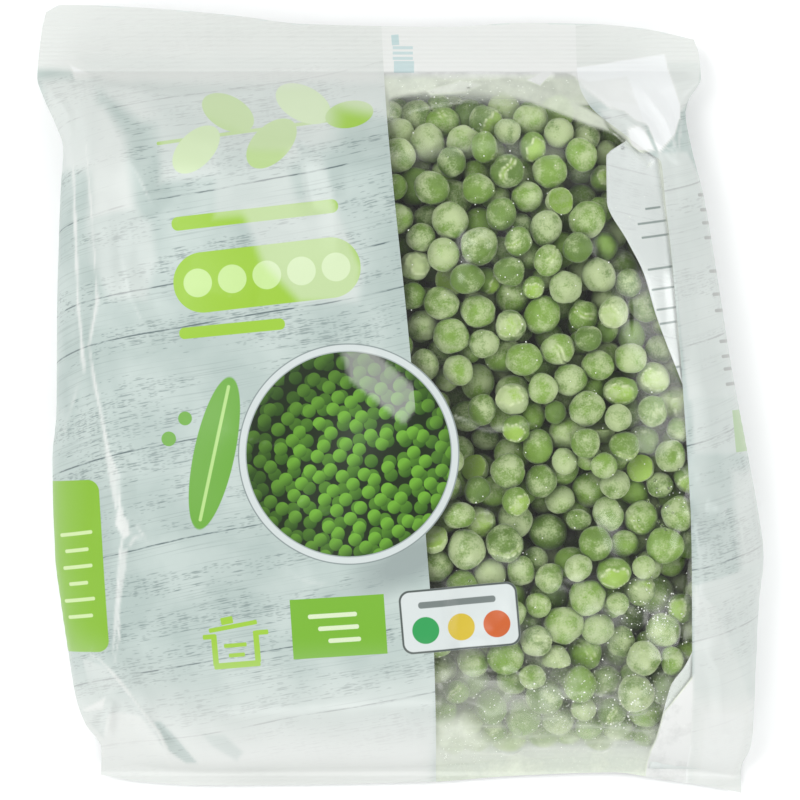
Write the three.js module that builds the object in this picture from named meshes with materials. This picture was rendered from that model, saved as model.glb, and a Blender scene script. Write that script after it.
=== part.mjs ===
// A bag of frozen peas: a sealed pillow of thin film, lying on its back, full of loose peas.
// Sizes are in millimetres. X runs across the bag, Y from its bottom seal to its top seal, and Z is up.
// The origin is on the surface that the bag lies on, under the middle of the pouch.
import * as THREE from "three";

// Heights
const CREST = 42; // of the front film where the bag is fullest
const CROWN_FALL = 6; // from the crest to the middle of each side and end, before the film turns down
const FILM_GAP = 1; // between the outsides of the two films where they lie together
const SIDE_SEAM = 12; // of the bag's widest line
const TOP_SEAL_EDGE = 7; // of the top seal's free edge
const BOTTOM_SEAL_EDGE = 2; // of the bottom seal's free edge, which is tucked down
const HALF_WIDTH = 85; // of the pouch
const HALF_LENGTH = 90; // of the pouch
const SEAL_FOOT_Y = 82.5; // where the top seal ends and the pouch begins
const BOTTOM_SEAL_DEPTH = 4; // of the bottom seal, as seen from above

// The seam line leaves the sides' height here, and reaches the height of each seal's edge this far on
const TOP_BEND_Y = 62;
const TOP_BEND_SPAN = 36;
const BOTTOM_BEND_Y = -82;
const BOTTOM_BEND_SPAN = 14;

// How far in from its edge the front film takes to reach the top of the heap
const REACH_LEFT = 20;
const REACH_RIGHT = 30;
const REACH_TOP = 30;
const REACH_BOTTOM = 24;
// How far in from its edge the back film takes to come down to the surface, where peas fill that edge
const BACK_REACH = 18;
// Roundness of the film as it turns over at the sides, where 1 would be a straight slope and 2 an ellipse
const ROUNDNESS = 1.7;
// A fold has its full height where the bag is this full, and its ends taper by this power of a sine
const FOLD_FULL_AT = 0.5;
const FOLD_TAPER = 0.5;

// Fineness of the mesh, and how far its lines crowd to the edges, from 0 for even to 1
const COLUMNS = 40;
const ROWS = 50;
const CROWDING_ACROSS = 0.9;
const CROWDING_UP = 0.6;

// Outline seen from above: [y, x] up the two sides, and [x, y] along the two ends
const LEFT_SIDE = [
  [-94.6, -75.5], [-87, -75], [-81, -78.8], [-75, -81], [-63, -83], [-51, -84.8], [-39, -86.3],
  [-15, -87], [-3, -86], [21, -85.8], [51, -85], [63, -84.3], [69, -86.3], [75, -89], [81, -91],
  [93, -90], [97.5, -89],
];
const RIGHT_SIDE = [
  [-99.2, 86.2], [-93, 86], [-87, 88], [-63, 89.2], [-51, 89.8], [-39, 91], [-27, 89.5], [-15, 87.3],
  [9, 82.8], [27, 80], [51, 76], [63, 73], [72, 71.5], [75, 72.3], [81, 75.5], [87, 75], [90.6, 73.8],
];
const TOP_END = [
  [-89, 97.5], [-85, 99.4], [-66, 98.7], [-42, 96.7], [-24, 94.5], [12, 93.8], [30, 94.8], [48, 94.5],
  [60, 93.5], [73.8, 90.6],
];
const BOTTOM_END = [
  [-75.5, -94.6], [-66, -96.3], [-48, -97.3], [6, -96.5], [30, -94.8], [54, -94], [66, -95.8],
  [78, -97.5], [86.2, -99.2],
];
// Where the peas stop on the right, as [y, x]: they leave both corners there empty
const PEAS_RIGHT = [
  [-93, 63.5], [-80, 65.5], [-70, 73], [-58, 81], [-45, 87], [-28, 86], [-12, 78], [0, 71], [12, 66],
  [27, 60], [40, 53.5], [52, 50], [68, 51], [82, 43],
];

// Folds of the front film that stand up as ridges: path, height and half width
const FOLDS = [
  { path: [[-83, 84], [-80, 67], [-78.5, 37], [-76, 25], [-78.5, 12], [-75, -8], [-69, -33], [-71, -66]],
    height: 2, halfWidth: 6 },
  { path: [[-80, -64], [-73.5, -71], [-62.5, -85], [-54, -94]], height: 2.4, halfWidth: 6 },
  { path: [[-78, -78], [-72, -75], [-68, -82]], height: 1.6, halfWidth: 4 },
  { path: [[-4, 76], [14, 78], [30, 76], [50, 67], [58, 62]], height: 1.8, halfWidth: 6 },
  { path: [[42, 82], [52, 71], [64, 64], [68, 63], [73, 74]], height: 2.6, halfWidth: 6 },
];
// The front film sags where a corner holds no peas: the top right one and the bottom left one
const SLACKS = [
  { x: 64, y: 58, depth: 9, radius: 30 },
  { x: -74, y: -90, depth: 16, radius: 34 },
];

const clamp01 = (value) => Math.min(1, Math.max(0, value));
const smooth = (value) => clamp01(value) ** 2 * (3 - 2 * clamp01(value));

// A curve through points that never swings past them: the slope at each point is the harmonic mean of
// the slopes beside it, or level where they differ in sign.
function through(points) {
  const step = (i) => (points[i + 1][1] - points[i][1]) / (points[i + 1][0] - points[i][0]);
  const slopes = points.map((_, i) => {
    if (i === 0) return step(0);
    if (i === points.length - 1) return step(i - 1);
    const [before, after] = [step(i - 1), step(i)];
    return before * after > 0 ? (2 * before * after) / (before + after) : 0;
  });
  return (at) => {
    const i = points.findIndex((point) => at < point[0]) - 1;
    if (at <= points[0][0]) return points[0][1];
    if (i < 0) return points[points.length - 1][1];
    const width = points[i + 1][0] - points[i][0];
    const share = (at - points[i][0]) / width;
    return THREE.MathUtils.lerp(points[i][1], points[i + 1][1], share ** 2 * (3 - 2 * share))
      + width * share * (1 - share) * ((1 - share) * slopes[i] - share * slopes[i + 1]);
  };
}

const leftSide = through(LEFT_SIDE);
const rightSide = through(RIGHT_SIDE);
const topEnd = through(TOP_END);
const bottomEnd = through(BOTTOM_END);
const peasRight = through(PEAS_RIGHT);

// A point inside the outline, for shares from 0 to 1 across and up: a patch stretched between its edges.
function planPoint(across, up) {
  const side = (curve, points) => {
    const y = THREE.MathUtils.lerp(points[0][0], points[points.length - 1][0], up);
    return new THREE.Vector2(curve(y), y);
  };
  const end = (curve, points) => {
    const x = THREE.MathUtils.lerp(points[0][0], points[points.length - 1][0], across);
    return new THREE.Vector2(x, curve(x));
  };
  const corner = (points, i) => new THREE.Vector2(...points[i]);
  const bottom = corner(BOTTOM_END, 0).lerp(corner(BOTTOM_END, BOTTOM_END.length - 1), across);
  const top = corner(TOP_END, 0).lerp(corner(TOP_END, TOP_END.length - 1), across);
  return side(leftSide, LEFT_SIDE).lerp(side(rightSide, RIGHT_SIDE), across)
    .add(end(bottomEnd, BOTTOM_END).lerp(end(topEnd, TOP_END), up))
    .sub(bottom.lerp(top, up));
}

// A rounded quarter turn: upright at the edge, level once the reach is passed.
const turn = (distance, reach) => (1 - (1 - clamp01(distance / reach)) ** ROUNDNESS) ** (1 / ROUNDNESS);
// A slope that starts at an angle, as film does from a seal, and levels off.
const swell = (distance, reach) => Math.sin((Math.PI / 2) * clamp01(distance / reach));
// A slope that leaves level and arrives level.
const ease = (distance, reach) => smooth(distance / reach);

// Height at which the two films lie where nothing is between them.
function seamHeight(y) {
  const up = smooth((y - TOP_BEND_Y) / TOP_BEND_SPAN);
  const down = smooth((BOTTOM_BEND_Y - y) / BOTTOM_BEND_SPAN);
  return SIDE_SEAM + (TOP_SEAL_EDGE - SIDE_SEAM) * up + (BOTTOM_SEAL_EDGE - SIDE_SEAM) * down;
}

// Height that one fold adds: a tent across its path, fading out at both ends.
function foldHeight({ path, height, halfWidth }, x, y) {
  const lengths = path.slice(1).map((end, i) => Math.hypot(end[0] - path[i][0], end[1] - path[i][1]));
  const total = lengths.reduce((sum, length) => sum + length, 0);
  let nearest = { distance: Infinity, along: 0 };
  let passed = 0;
  path.slice(1).forEach((end, i) => {
    const [dx, dy] = [end[0] - path[i][0], end[1] - path[i][1]];
    const share = clamp01(((x - path[i][0]) * dx + (y - path[i][1]) * dy) / lengths[i] ** 2);
    const distance = Math.hypot(x - path[i][0] - share * dx, y - path[i][1] - share * dy);
    if (distance < nearest.distance) nearest = { distance, along: passed + share * lengths[i] };
    passed += lengths[i];
  });
  const fade = Math.sin(Math.PI * clamp01(nearest.along / total)) ** FOLD_TAPER;
  return height * fade * smooth(1 - nearest.distance / halfWidth);
}

// How full the bag is under a point of the front film, from 0 at the seams to 1 on the heap.
function fullness(x, y) {
  return turn(x - leftSide(y), REACH_LEFT) * turn(rightSide(y) - x, REACH_RIGHT)
    * swell(SEAL_FOOT_Y - y, REACH_TOP) * swell(y - bottomEnd(x) - BOTTOM_SEAL_DEPTH, REACH_BOTTOM);
}

function frontHeight(x, y) {
  const full = fullness(x, y);
  const sag = SLACKS.reduce((sum, { x: midX, y: midY, depth, radius }) => (
    sum + depth * smooth(1 - Math.hypot(x - midX, y - midY) / radius)), 0);
  const crown = CREST - CROWN_FALL * ((x / HALF_WIDTH) ** 2 + (y / HALF_LENGTH) ** 2) - sag;
  const folds = FOLDS.reduce((sum, fold) => sum + foldHeight(fold, x, y), 0);
  return seamHeight(y) + (crown - seamHeight(y)) * full + folds * ease(full, FOLD_FULL_AT);
}

// The back film lies flat on the surface under the peas, and rises to the seams beyond them.
function backHeight(x, y) {
  const rightReach = Math.max(BACK_REACH, rightSide(y) - peasRight(y));
  const pressed = ease(x - leftSide(y), BACK_REACH) * ease(rightSide(y) - x, rightReach)
    * ease(SEAL_FOOT_Y - y, BACK_REACH) * ease(y - bottomEnd(x) - BOTTOM_SEAL_DEPTH, BACK_REACH);
  return (seamHeight(y) - FILM_GAP) * (1 - pressed);
}

// Shares along a line, closer together near both its ends where the film turns over.
function stations(count, crowding) {
  return Array.from({ length: count + 1 }, (_, i) => {
    const even = i / count;
    return THREE.MathUtils.lerp(even, (1 - Math.cos(Math.PI * even)) / 2, crowding);
  });
}

// The whole bag as one closed body: the front, the back turned over, and the rim between them.
function bagGeometry() {
  const across = stations(COLUMNS, CROWDING_ACROSS);
  const up = stations(ROWS, CROWDING_UP);
  const plan = up.flatMap((v) => across.map((u) => planPoint(u, v)));
  const front = plan.map((p) => [p.x, p.y, frontHeight(p.x, p.y)]);
  const back = plan.map((p) => [p.x, p.y, backHeight(p.x, p.y)]);
  const width = across.length;
  const backStart = plan.length;
  const faces = [];
  const quad = (a, b, c, d) => faces.push(a, b, c, a, c, d);
  for (let row = 0; row < ROWS; row += 1) {
    for (let column = 0; column < COLUMNS; column += 1) {
      const at = row * width + column;
      quad(at, at + 1, at + 1 + width, at + width);
      quad(backStart + at, backStart + at + width, backStart + at + 1 + width, backStart + at + 1);
    }
  }
  const rim = [];
  for (let column = 0; column < COLUMNS; column += 1) rim.push(column);
  for (let row = 0; row < ROWS; row += 1) rim.push(row * width + COLUMNS);
  for (let column = COLUMNS; column > 0; column -= 1) rim.push(ROWS * width + column);
  for (let row = ROWS; row > 0; row -= 1) rim.push(row * width);
  rim.forEach((at, i) => {
    const next = rim[(i + 1) % rim.length];
    quad(backStart + at, backStart + next, next, at);
  });
  const geometry = new THREE.BufferGeometry();
  geometry.setAttribute("position", new THREE.Float32BufferAttribute([...front, ...back].flat(), 3));
  geometry.setIndex(faces);
  geometry.computeVertexNormals();
  return geometry;
}

const printedFilm = new THREE.MeshStandardMaterial({ color: 0xd3dcda, roughness: 0.35, metalness: 0 });

const bag = new THREE.Mesh(bagGeometry(), printedFilm);
bag.name = "pea_bag";

const group = new THREE.Group();
group.add(bag);

export default group;
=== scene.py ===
"""A sealed bag of frozen peas, lying on its back: printed film with a clear window, and the peas behind it.

Shapes are worked out in millimetres, as the film maker's drawing would be, and turned to metres as each
mesh is made. X runs across the bag, Y from its bottom seal to its top seal, and Z is up out of its front.
"""

import logging
import math
from dataclasses import dataclass, field
from enum import Enum

import bmesh
import bpy
import numpy as np
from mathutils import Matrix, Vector


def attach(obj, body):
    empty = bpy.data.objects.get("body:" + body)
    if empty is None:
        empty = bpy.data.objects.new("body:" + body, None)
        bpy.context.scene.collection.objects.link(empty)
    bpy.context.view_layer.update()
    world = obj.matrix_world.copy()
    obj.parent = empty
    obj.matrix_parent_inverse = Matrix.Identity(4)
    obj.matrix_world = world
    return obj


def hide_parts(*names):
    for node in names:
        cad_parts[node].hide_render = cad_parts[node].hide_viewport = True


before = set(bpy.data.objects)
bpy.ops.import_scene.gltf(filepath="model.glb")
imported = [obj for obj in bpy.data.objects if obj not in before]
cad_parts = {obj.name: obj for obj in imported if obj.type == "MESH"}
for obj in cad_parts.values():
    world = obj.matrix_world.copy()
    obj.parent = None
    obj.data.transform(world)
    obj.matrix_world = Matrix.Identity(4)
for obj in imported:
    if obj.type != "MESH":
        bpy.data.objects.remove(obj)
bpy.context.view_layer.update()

MM = 0.001
NODE = "pea_bag"
BODY = "root"

# Short names for types, and what a node's input takes
Array = np.ndarray
Piece = bpy.types.Object
Material = bpy.types.Material
Tree = bpy.types.NodeTree
Node = bpy.types.Node
Socket = bpy.types.NodeSocket
Source = Node | Socket | float | tuple[float, ...]

log = logging.getLogger("pea_bag")


def linear(hex_colour: str) -> tuple[float, float, float, float]:
    """Turns an sRGB hex colour to the linear colour that a shader takes.

    Args:
        hex_colour: Six hex digits after a hash.

    Returns:
        Red, green, blue and a full alpha.
    """
    shares = [int(hex_colour[i:i + 2], 16) / 255 for i in (1, 3, 5)]
    light = [s / 12.92 if s <= 0.04045 else ((s + 0.055) / 1.055) ** 2.4 for s in shares]
    return (*light, 1.0)


def smooth(share: Array) -> Array:
    """Eases a share from 0 to 1, level at both ends."""
    held = np.clip(share, 0, 1)
    return held ** 2 * (3 - 2 * held)


@dataclass(frozen=True)
class Curve:
    """A line through points that never swings past them.

    Attributes:
        points: Pairs of a place along the line and the value there, in order.
    """

    points: tuple[tuple[float, float], ...]

    def at(self, where: Array) -> Array:
        """Works out the line's values.

        Args:
            where: Places along the line.

        Returns:
            The value at each place, held level past both ends.
        """
        knots, values = np.array(self.points, float).T
        widths = np.diff(knots)
        steps = np.diff(values) / widths
        slopes = np.concatenate([steps[:1], np.zeros(len(steps) - 1), steps[-1:]])
        agree = steps[:-1] * steps[1:] > 0
        total = np.where(agree, steps[:-1] + steps[1:], 1)
        slopes[1:-1] = np.where(agree, 2 * steps[:-1] * steps[1:] / total, 0)
        i = np.clip(np.searchsorted(knots, where, side="right") - 1, 0, len(widths) - 1)
        share = np.clip((where - knots[i]) / widths[i], 0, 1)
        bow = widths[i] * share * (1 - share) * ((1 - share) * slopes[i] - share * slopes[i + 1])
        return values[i] + (values[i + 1] - values[i]) * smooth(share) + bow


@dataclass(frozen=True)
class Fold:
    """A ridge or a valley of the film along a path.

    Attributes:
        path: The points that its crest passes.
        height: How far it stands up, or down where negative.
        left: How far it reaches on the left of the path, looking along it.
        right: How far it reaches on the right of the path.
        crisp: From 0 for a round crest to 1 for a pressed crease.
        pale: How wide its pressed crest is pale, painted as a highlight along with stress whitening.
    """

    path: tuple[tuple[float, float], ...]
    height: float
    left: float
    right: float
    crisp: float
    pale: float = 0.0

    def measure(self, x: Array, y: Array) -> tuple[Array, Array, Array]:
        """Measures places against the path.

        Args:
            x: Places across the bag.
            y: Places along the bag.

        Returns:
            The distance from the path, how much of the fold is left there, from 0 at the path's ends to 1
            halfway, and which side of the path it is, positive on the left.
        """
        nearest = np.full(x.shape, np.inf)
        along = np.zeros(x.shape)
        side = np.zeros(x.shape)
        passed = 0.0
        for (x0, y0), (x1, y1) in zip(self.path[:-1], self.path[1:]):
            dx, dy = x1 - x0, y1 - y0
            length = math.hypot(dx, dy)
            share = np.clip(((x - x0) * dx + (y - y0) * dy) / length ** 2, 0, 1)
            distance = np.hypot(x - x0 - share * dx, y - y0 - share * dy)
            closer = distance < nearest
            nearest = np.where(closer, distance, nearest)
            along = np.where(closer, passed + share * length, along)
            side = np.where(closer, dx * (y - y0) - dy * (x - x0), side)
            passed += length
        fade = np.sqrt(np.sin(math.pi * np.clip(along / passed, 0, 1)).clip(0))
        return nearest, fade, side

    def lift(self, x: Array, y: Array) -> Array:
        """Works out how far the fold lifts the film at each x and y."""
        nearest, fade, side = self.measure(x, y)
        rise = np.clip(1 - nearest / np.where(side > 0, self.left, self.right), 0, 1)
        return self.height * fade * (self.crisp * rise ** 1.6 + (1 - self.crisp) * smooth(rise))

    def painted_crest_highlight(self, x: Array, y: Array) -> Array:
        """Works out the crest's painted highlight and stress whitening, from 0 for none to 1 on the crest."""
        nearest, fade, _ = self.measure(x, y)
        width = self.pale * (0.75 + 0.45 * np.sin(y / 2.3 + x) * np.sin(y / 5.9))
        return smooth((width / 2 - nearest) / 0.5 + 0.5) * smooth(fade * 2)


@dataclass(frozen=True)
class PaintedReflectionPatch:
    """A facet where the film lies off what is under it, with its reflection painted pale; over the window,
    frost too.

    Attributes:
        corners: Its corners in order, with no hollow between them.
        level: How pale it is, from 0 for none to 1 for white.
        edge: How softly it ends.
    """

    corners: tuple[tuple[float, float], ...]
    level: float
    edge: float

    def over(self, pale: Array, x: Array, y: Array) -> Array:
        """Lays the patch over those before it.

        Args:
            pale: How pale the film is before.
            x: Places across the bag.
            y: Places along the bag.

        Returns:
            How pale the film is with the patch.
        """
        ends = self.corners[1:] + self.corners[:1]
        area = sum(x0 * y1 - x1 * y0 for (x0, y0), (x1, y1) in zip(self.corners, ends))
        inside = np.full(x.shape, np.inf)
        for (x0, y0), (x1, y1) in zip(self.corners, ends):
            across = (x1 - x0) * (y - y0) - (y1 - y0) * (x - x0)
            inside = np.minimum(inside, across / math.hypot(x1 - x0, y1 - y0) * np.sign(area))
        return pale + (self.level - pale) * smooth(inside / self.edge + 0.5)


@dataclass(frozen=True)
class BagForm:
    """The bag's main form: its outline, the heights of its two films and where the peas lie.

    Attributes:
        crest: Height of the crown's middle.
        crown_fall: How far the crown has come down half_width or half_length away.
        side_seam: Height of the seams at the sides, with top_seal_edge and bottom_seal_edge at the ends.
        seal_foot_y: Where the top seal begins.
        bottom_seal_depth: How far up the bottom seal reaches.
        top_bend: Where the seams start down to the top seal, and over what length, with bottom_bend.
        reach_left: How far in the front still rises, with reach_right, reach_top and reach_bottom.
        back_reach: How far in the back film still falls.
        roundness: Power of the front's rounded edges, 2 for a quarter circle.
        ply: How far the back film lies under the seams.
        tuck_depth: How far the folded-in side holds the peas down.
        sags: The middle, depth and radius of each slack hollow.
        left_side: The outline's x at each y, as right_side is.
        top_end: The outline's y at each x, as bottom_end is.
        window_left: The window's edge at each y, as window_right is.
        tuck_edge: The folded edge of the tuck at each y.
    """

    crest: float = 42.0
    crown_fall: float = 6.0
    side_seam: float = 12.0
    top_seal_edge: float = 7.0
    bottom_seal_edge: float = 2.0
    half_width: float = 85.0
    half_length: float = 90.0
    seal_foot_y: float = 82.5
    bottom_seal_depth: float = 4.0
    top_bend: tuple[float, float] = (62.0, 36.0)
    bottom_bend: tuple[float, float] = (-82.0, 14.0)
    reach_left: float = 20.0
    reach_right: float = 30.0
    reach_top: float = 27.0
    reach_bottom: float = 20.0
    back_reach: float = 18.0
    roundness: float = 1.7
    ply: float = 0.15
    tuck_depth: float = 3.4
    sags: tuple[tuple[float, float, float, float], ...] = ((64, 58, 9, 30), (-74, -90, 16, 34))
    left_side: Curve = Curve((
        (-94.6, -75.5), (-87, -75), (-81, -78.8), (-75, -81), (-63, -83), (-51, -84.8), (-39, -86.3),
        (-15, -87), (-3, -86), (21, -85.8), (51, -85), (63, -84.3), (69, -86.3), (75, -89), (81, -91),
        (93, -90), (97.5, -89),
    ))
    right_side: Curve = Curve((
        (-99.2, 86.2), (-93, 86), (-87, 88), (-63, 89.2), (-51, 89.8), (-39, 91), (-27, 89.5),
        (-15, 87.3), (9, 82.8), (27, 80), (51, 76), (63, 73), (72, 71.5), (75, 72.3), (81, 75.5),
        (87, 75), (90.6, 73.8),
    ))
    top_end: Curve = Curve((
        (-89, 97.5), (-85, 99.4), (-66, 98.7), (-42, 96.7), (-24, 94.5), (12, 93.8), (30, 94.8),
        (48, 94.5), (60, 93.5), (73.8, 90.6),
    ))
    bottom_end: Curve = Curve((
        (-75.5, -94.6), (-66, -96.3), (-48, -97.3), (6, -96.5), (30, -94.8), (54, -94), (66, -95.8),
        (78, -97.5), (86.2, -99.2),
    ))
    window_left: Curve = Curve((
        (-99, 9.2), (-94, 9.1), (-62, 8.3), (-34.5, 6.4), (11.5, 2.5), (72, -3.4), (100, -5),
    ))
    window_right: Curve = Curve((
        (-99, 72.3), (-61, 71.9), (-38.7, 71.7), (1.7, 69.6), (32.6, 67.1), (49.5, 65.7), (59, 64.8),
        (61.5, 61.5), (65.4, 55.9), (73.2, 46.8), (79, 44.6), (100, 44),
    ))
    tuck_edge: Curve = Curve((
        (-96, 62.4), (-84.5, 63.6), (-70.5, 66.5), (-65.3, 70.2), (-57, 74), (-40, 80), (-20, 79), (5, 69),
        (21, 62.8), (31, 59.8), (39, 55.8), (49, 50.8), (60, 50.8), (65.5, 56.8), (74, 47), (82, 43),
    ))

    def plan(self, across: Array, up: Array) -> tuple[Array, Array]:
        """Stretches a patch between the four edges of the outline.

        Args:
            across: Shares from the left side to the right, from 0 to 1.
            up: Shares from the bottom end to the top.

        Returns:
            The x and the y of each point.
        """
        def span(curve: Curve, share: Array) -> Array:
            """Places along a curve, by their share of it."""
            first, last = curve.points[0][0], curve.points[-1][0]
            return first + (last - first) * share

        def blend(a: Array, b: Array, share: Array) -> Array:
            """Goes from one value to the other."""
            return a + (b - a) * share

        left_y, right_y = span(self.left_side, up), span(self.right_side, up)
        bottom_x, top_x = span(self.bottom_end, across), span(self.top_end, across)
        low_left, low_right = self.bottom_end.points[0], self.bottom_end.points[-1]
        high_left, high_right = self.top_end.points[0], self.top_end.points[-1]
        corners = [
            blend(blend(low_left[i], low_right[i], across), blend(high_left[i], high_right[i], across), up)
            for i in (0, 1)
        ]
        x = (blend(self.left_side.at(left_y), self.right_side.at(right_y), across)
             + blend(bottom_x, top_x, up) - corners[0])
        y = (blend(left_y, right_y, across)
             + blend(self.bottom_end.at(bottom_x), self.top_end.at(top_x), up) - corners[1])
        return x, y

    def turn(self, distance: Array, reach: float) -> Array:
        """A rounded quarter turn: upright at the edge, level once the reach is passed."""
        away = 1 - np.clip(distance / reach, 0, 1)
        return (1 - away ** self.roundness) ** (1 / self.roundness)

    def seam(self, y: Array) -> Array:
        """Works out where the two films meet with nothing between them.

        Args:
            y: Places along the bag.

        Returns:
            The height at each place.
        """
        up = smooth((y - self.top_bend[0]) / self.top_bend[1])
        down = smooth((self.bottom_bend[0] - y) / self.bottom_bend[1])
        return (self.side_seam + (self.top_seal_edge - self.side_seam) * up
                + (self.bottom_seal_edge - self.side_seam) * down)

    def fullness(self, x: Array, y: Array) -> Array:
        """Works out how full the bag is under the front film.

        Args:
            x: Places across the bag.
            y: Places along the bag.

        Returns:
            From 0 at the seams to 1 on the heap.
        """
        from_top = np.clip((self.seal_foot_y - y) / self.reach_top, 0, 1)
        from_bottom = (y - self.bottom_end.at(x) - self.bottom_seal_depth) / self.reach_bottom
        ends = np.sin(math.pi / 2 * from_top) * np.sin(math.pi / 2 * np.clip(from_bottom, 0, 1))
        return (self.turn(x - self.left_side.at(y), self.reach_left)
                * self.turn(self.right_side.at(y) - x, self.reach_right) * ends)

    def front(self, x: Array, y: Array) -> Array:
        """Works out where the front film lies before its folds.

        Args:
            x: Places across the bag.
            y: Places along the bag.

        Returns:
            The height at each place.
        """
        crown = self.crest - self.crown_fall * ((x / self.half_width) ** 2 + (y / self.half_length) ** 2)
        for mid_x, mid_y, depth, radius in self.sags:
            crown = crown - depth * smooth(1 - np.hypot(x - mid_x, y - mid_y) / radius)
        return self.seam(y) + (crown - self.seam(y)) * self.fullness(x, y)

    def tucked(self, x: Array, y: Array) -> Array:
        """How far the side's tuck holds the peas down under the front film."""
        return self.tuck_depth * smooth((x - self.tuck_edge.at(y) + 0.5) / 1.5)

    def back(self, x: Array, y: Array) -> Array:
        """Works out where the back film lies: flat under the peas, and rising to the seams beyond them.

        Args:
            x: Places across the bag.
            y: Places along the bag.

        Returns:
            The height at each place.
        """
        right = self.right_side.at(y) - x
        right_reach = np.maximum(self.back_reach, self.right_side.at(y) - self.tuck_edge.at(y))
        pressed = (smooth((x - self.left_side.at(y)) / self.back_reach) * smooth(right / right_reach)
                   * smooth((self.seal_foot_y - y) / self.back_reach)
                   * smooth((y - self.bottom_end.at(x) - self.bottom_seal_depth) / self.back_reach))
        return (self.seam(y) - self.ply) * (1 - pressed)


def mesh_piece(name: str, points: Array, faces: Array) -> Piece:
    """Makes a smooth-shaded mesh object.

    Args:
        name: The piece's name.
        points: Its points, one a row, in millimetres.
        faces: The points of each face, one face a row.

    Returns:
        The object, linked to the scene.
    """
    mesh = bpy.data.meshes.new(name)
    mesh.vertices.add(len(points))
    mesh.vertices.foreach_set("co", (points * MM).astype(np.float32).ravel())
    count, corners = faces.shape
    mesh.loops.add(count * corners)
    mesh.loops.foreach_set("vertex_index", faces.astype(np.int32).ravel())
    mesh.polygons.add(count)
    mesh.polygons.foreach_set("loop_start", np.arange(0, count * corners, corners, dtype=np.int32))
    mesh.polygons.foreach_set("use_smooth", np.ones(count, bool))
    mesh.update(calc_edges=True)
    mesh.validate()
    piece = bpy.data.objects.new(name, mesh)
    bpy.context.scene.collection.objects.link(piece)
    return piece


def mark(piece: Piece, name: str, values: Array) -> None:
    """Stores a number or a vector at each point of a piece, for its material to read.

    Args:
        piece: The piece.
        name: The attribute's name.
        values: One number, or one row of three, for each point.
    """
    vector = values.ndim == 2
    kind, key = ("FLOAT_VECTOR", "vector") if vector else ("FLOAT", "value")
    stored = piece.data.attributes.new(name, kind, "POINT")
    stored.data.foreach_set(key, values.astype(np.float32).ravel())


def dress(piece: Piece, material: Material) -> None:
    """Gives a piece its material and its body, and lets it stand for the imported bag.

    Args:
        piece: The piece.
        material: Its material.
    """
    piece.data.materials.append(material)
    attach(piece, BODY)
    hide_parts(NODE)
    log.info("%s: %d faces", piece.name, len(piece.data.polygons))


def grid_faces(rows: int, columns: int) -> Array:
    """The faces of a grid of so many rows and columns of points, seen anticlockwise from above."""
    at = (np.arange(rows - 1)[:, None] * columns + np.arange(columns - 1)[None, :]).ravel()
    return np.stack([at, at + 1, at + 1 + columns, at + columns], 1)


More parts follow.
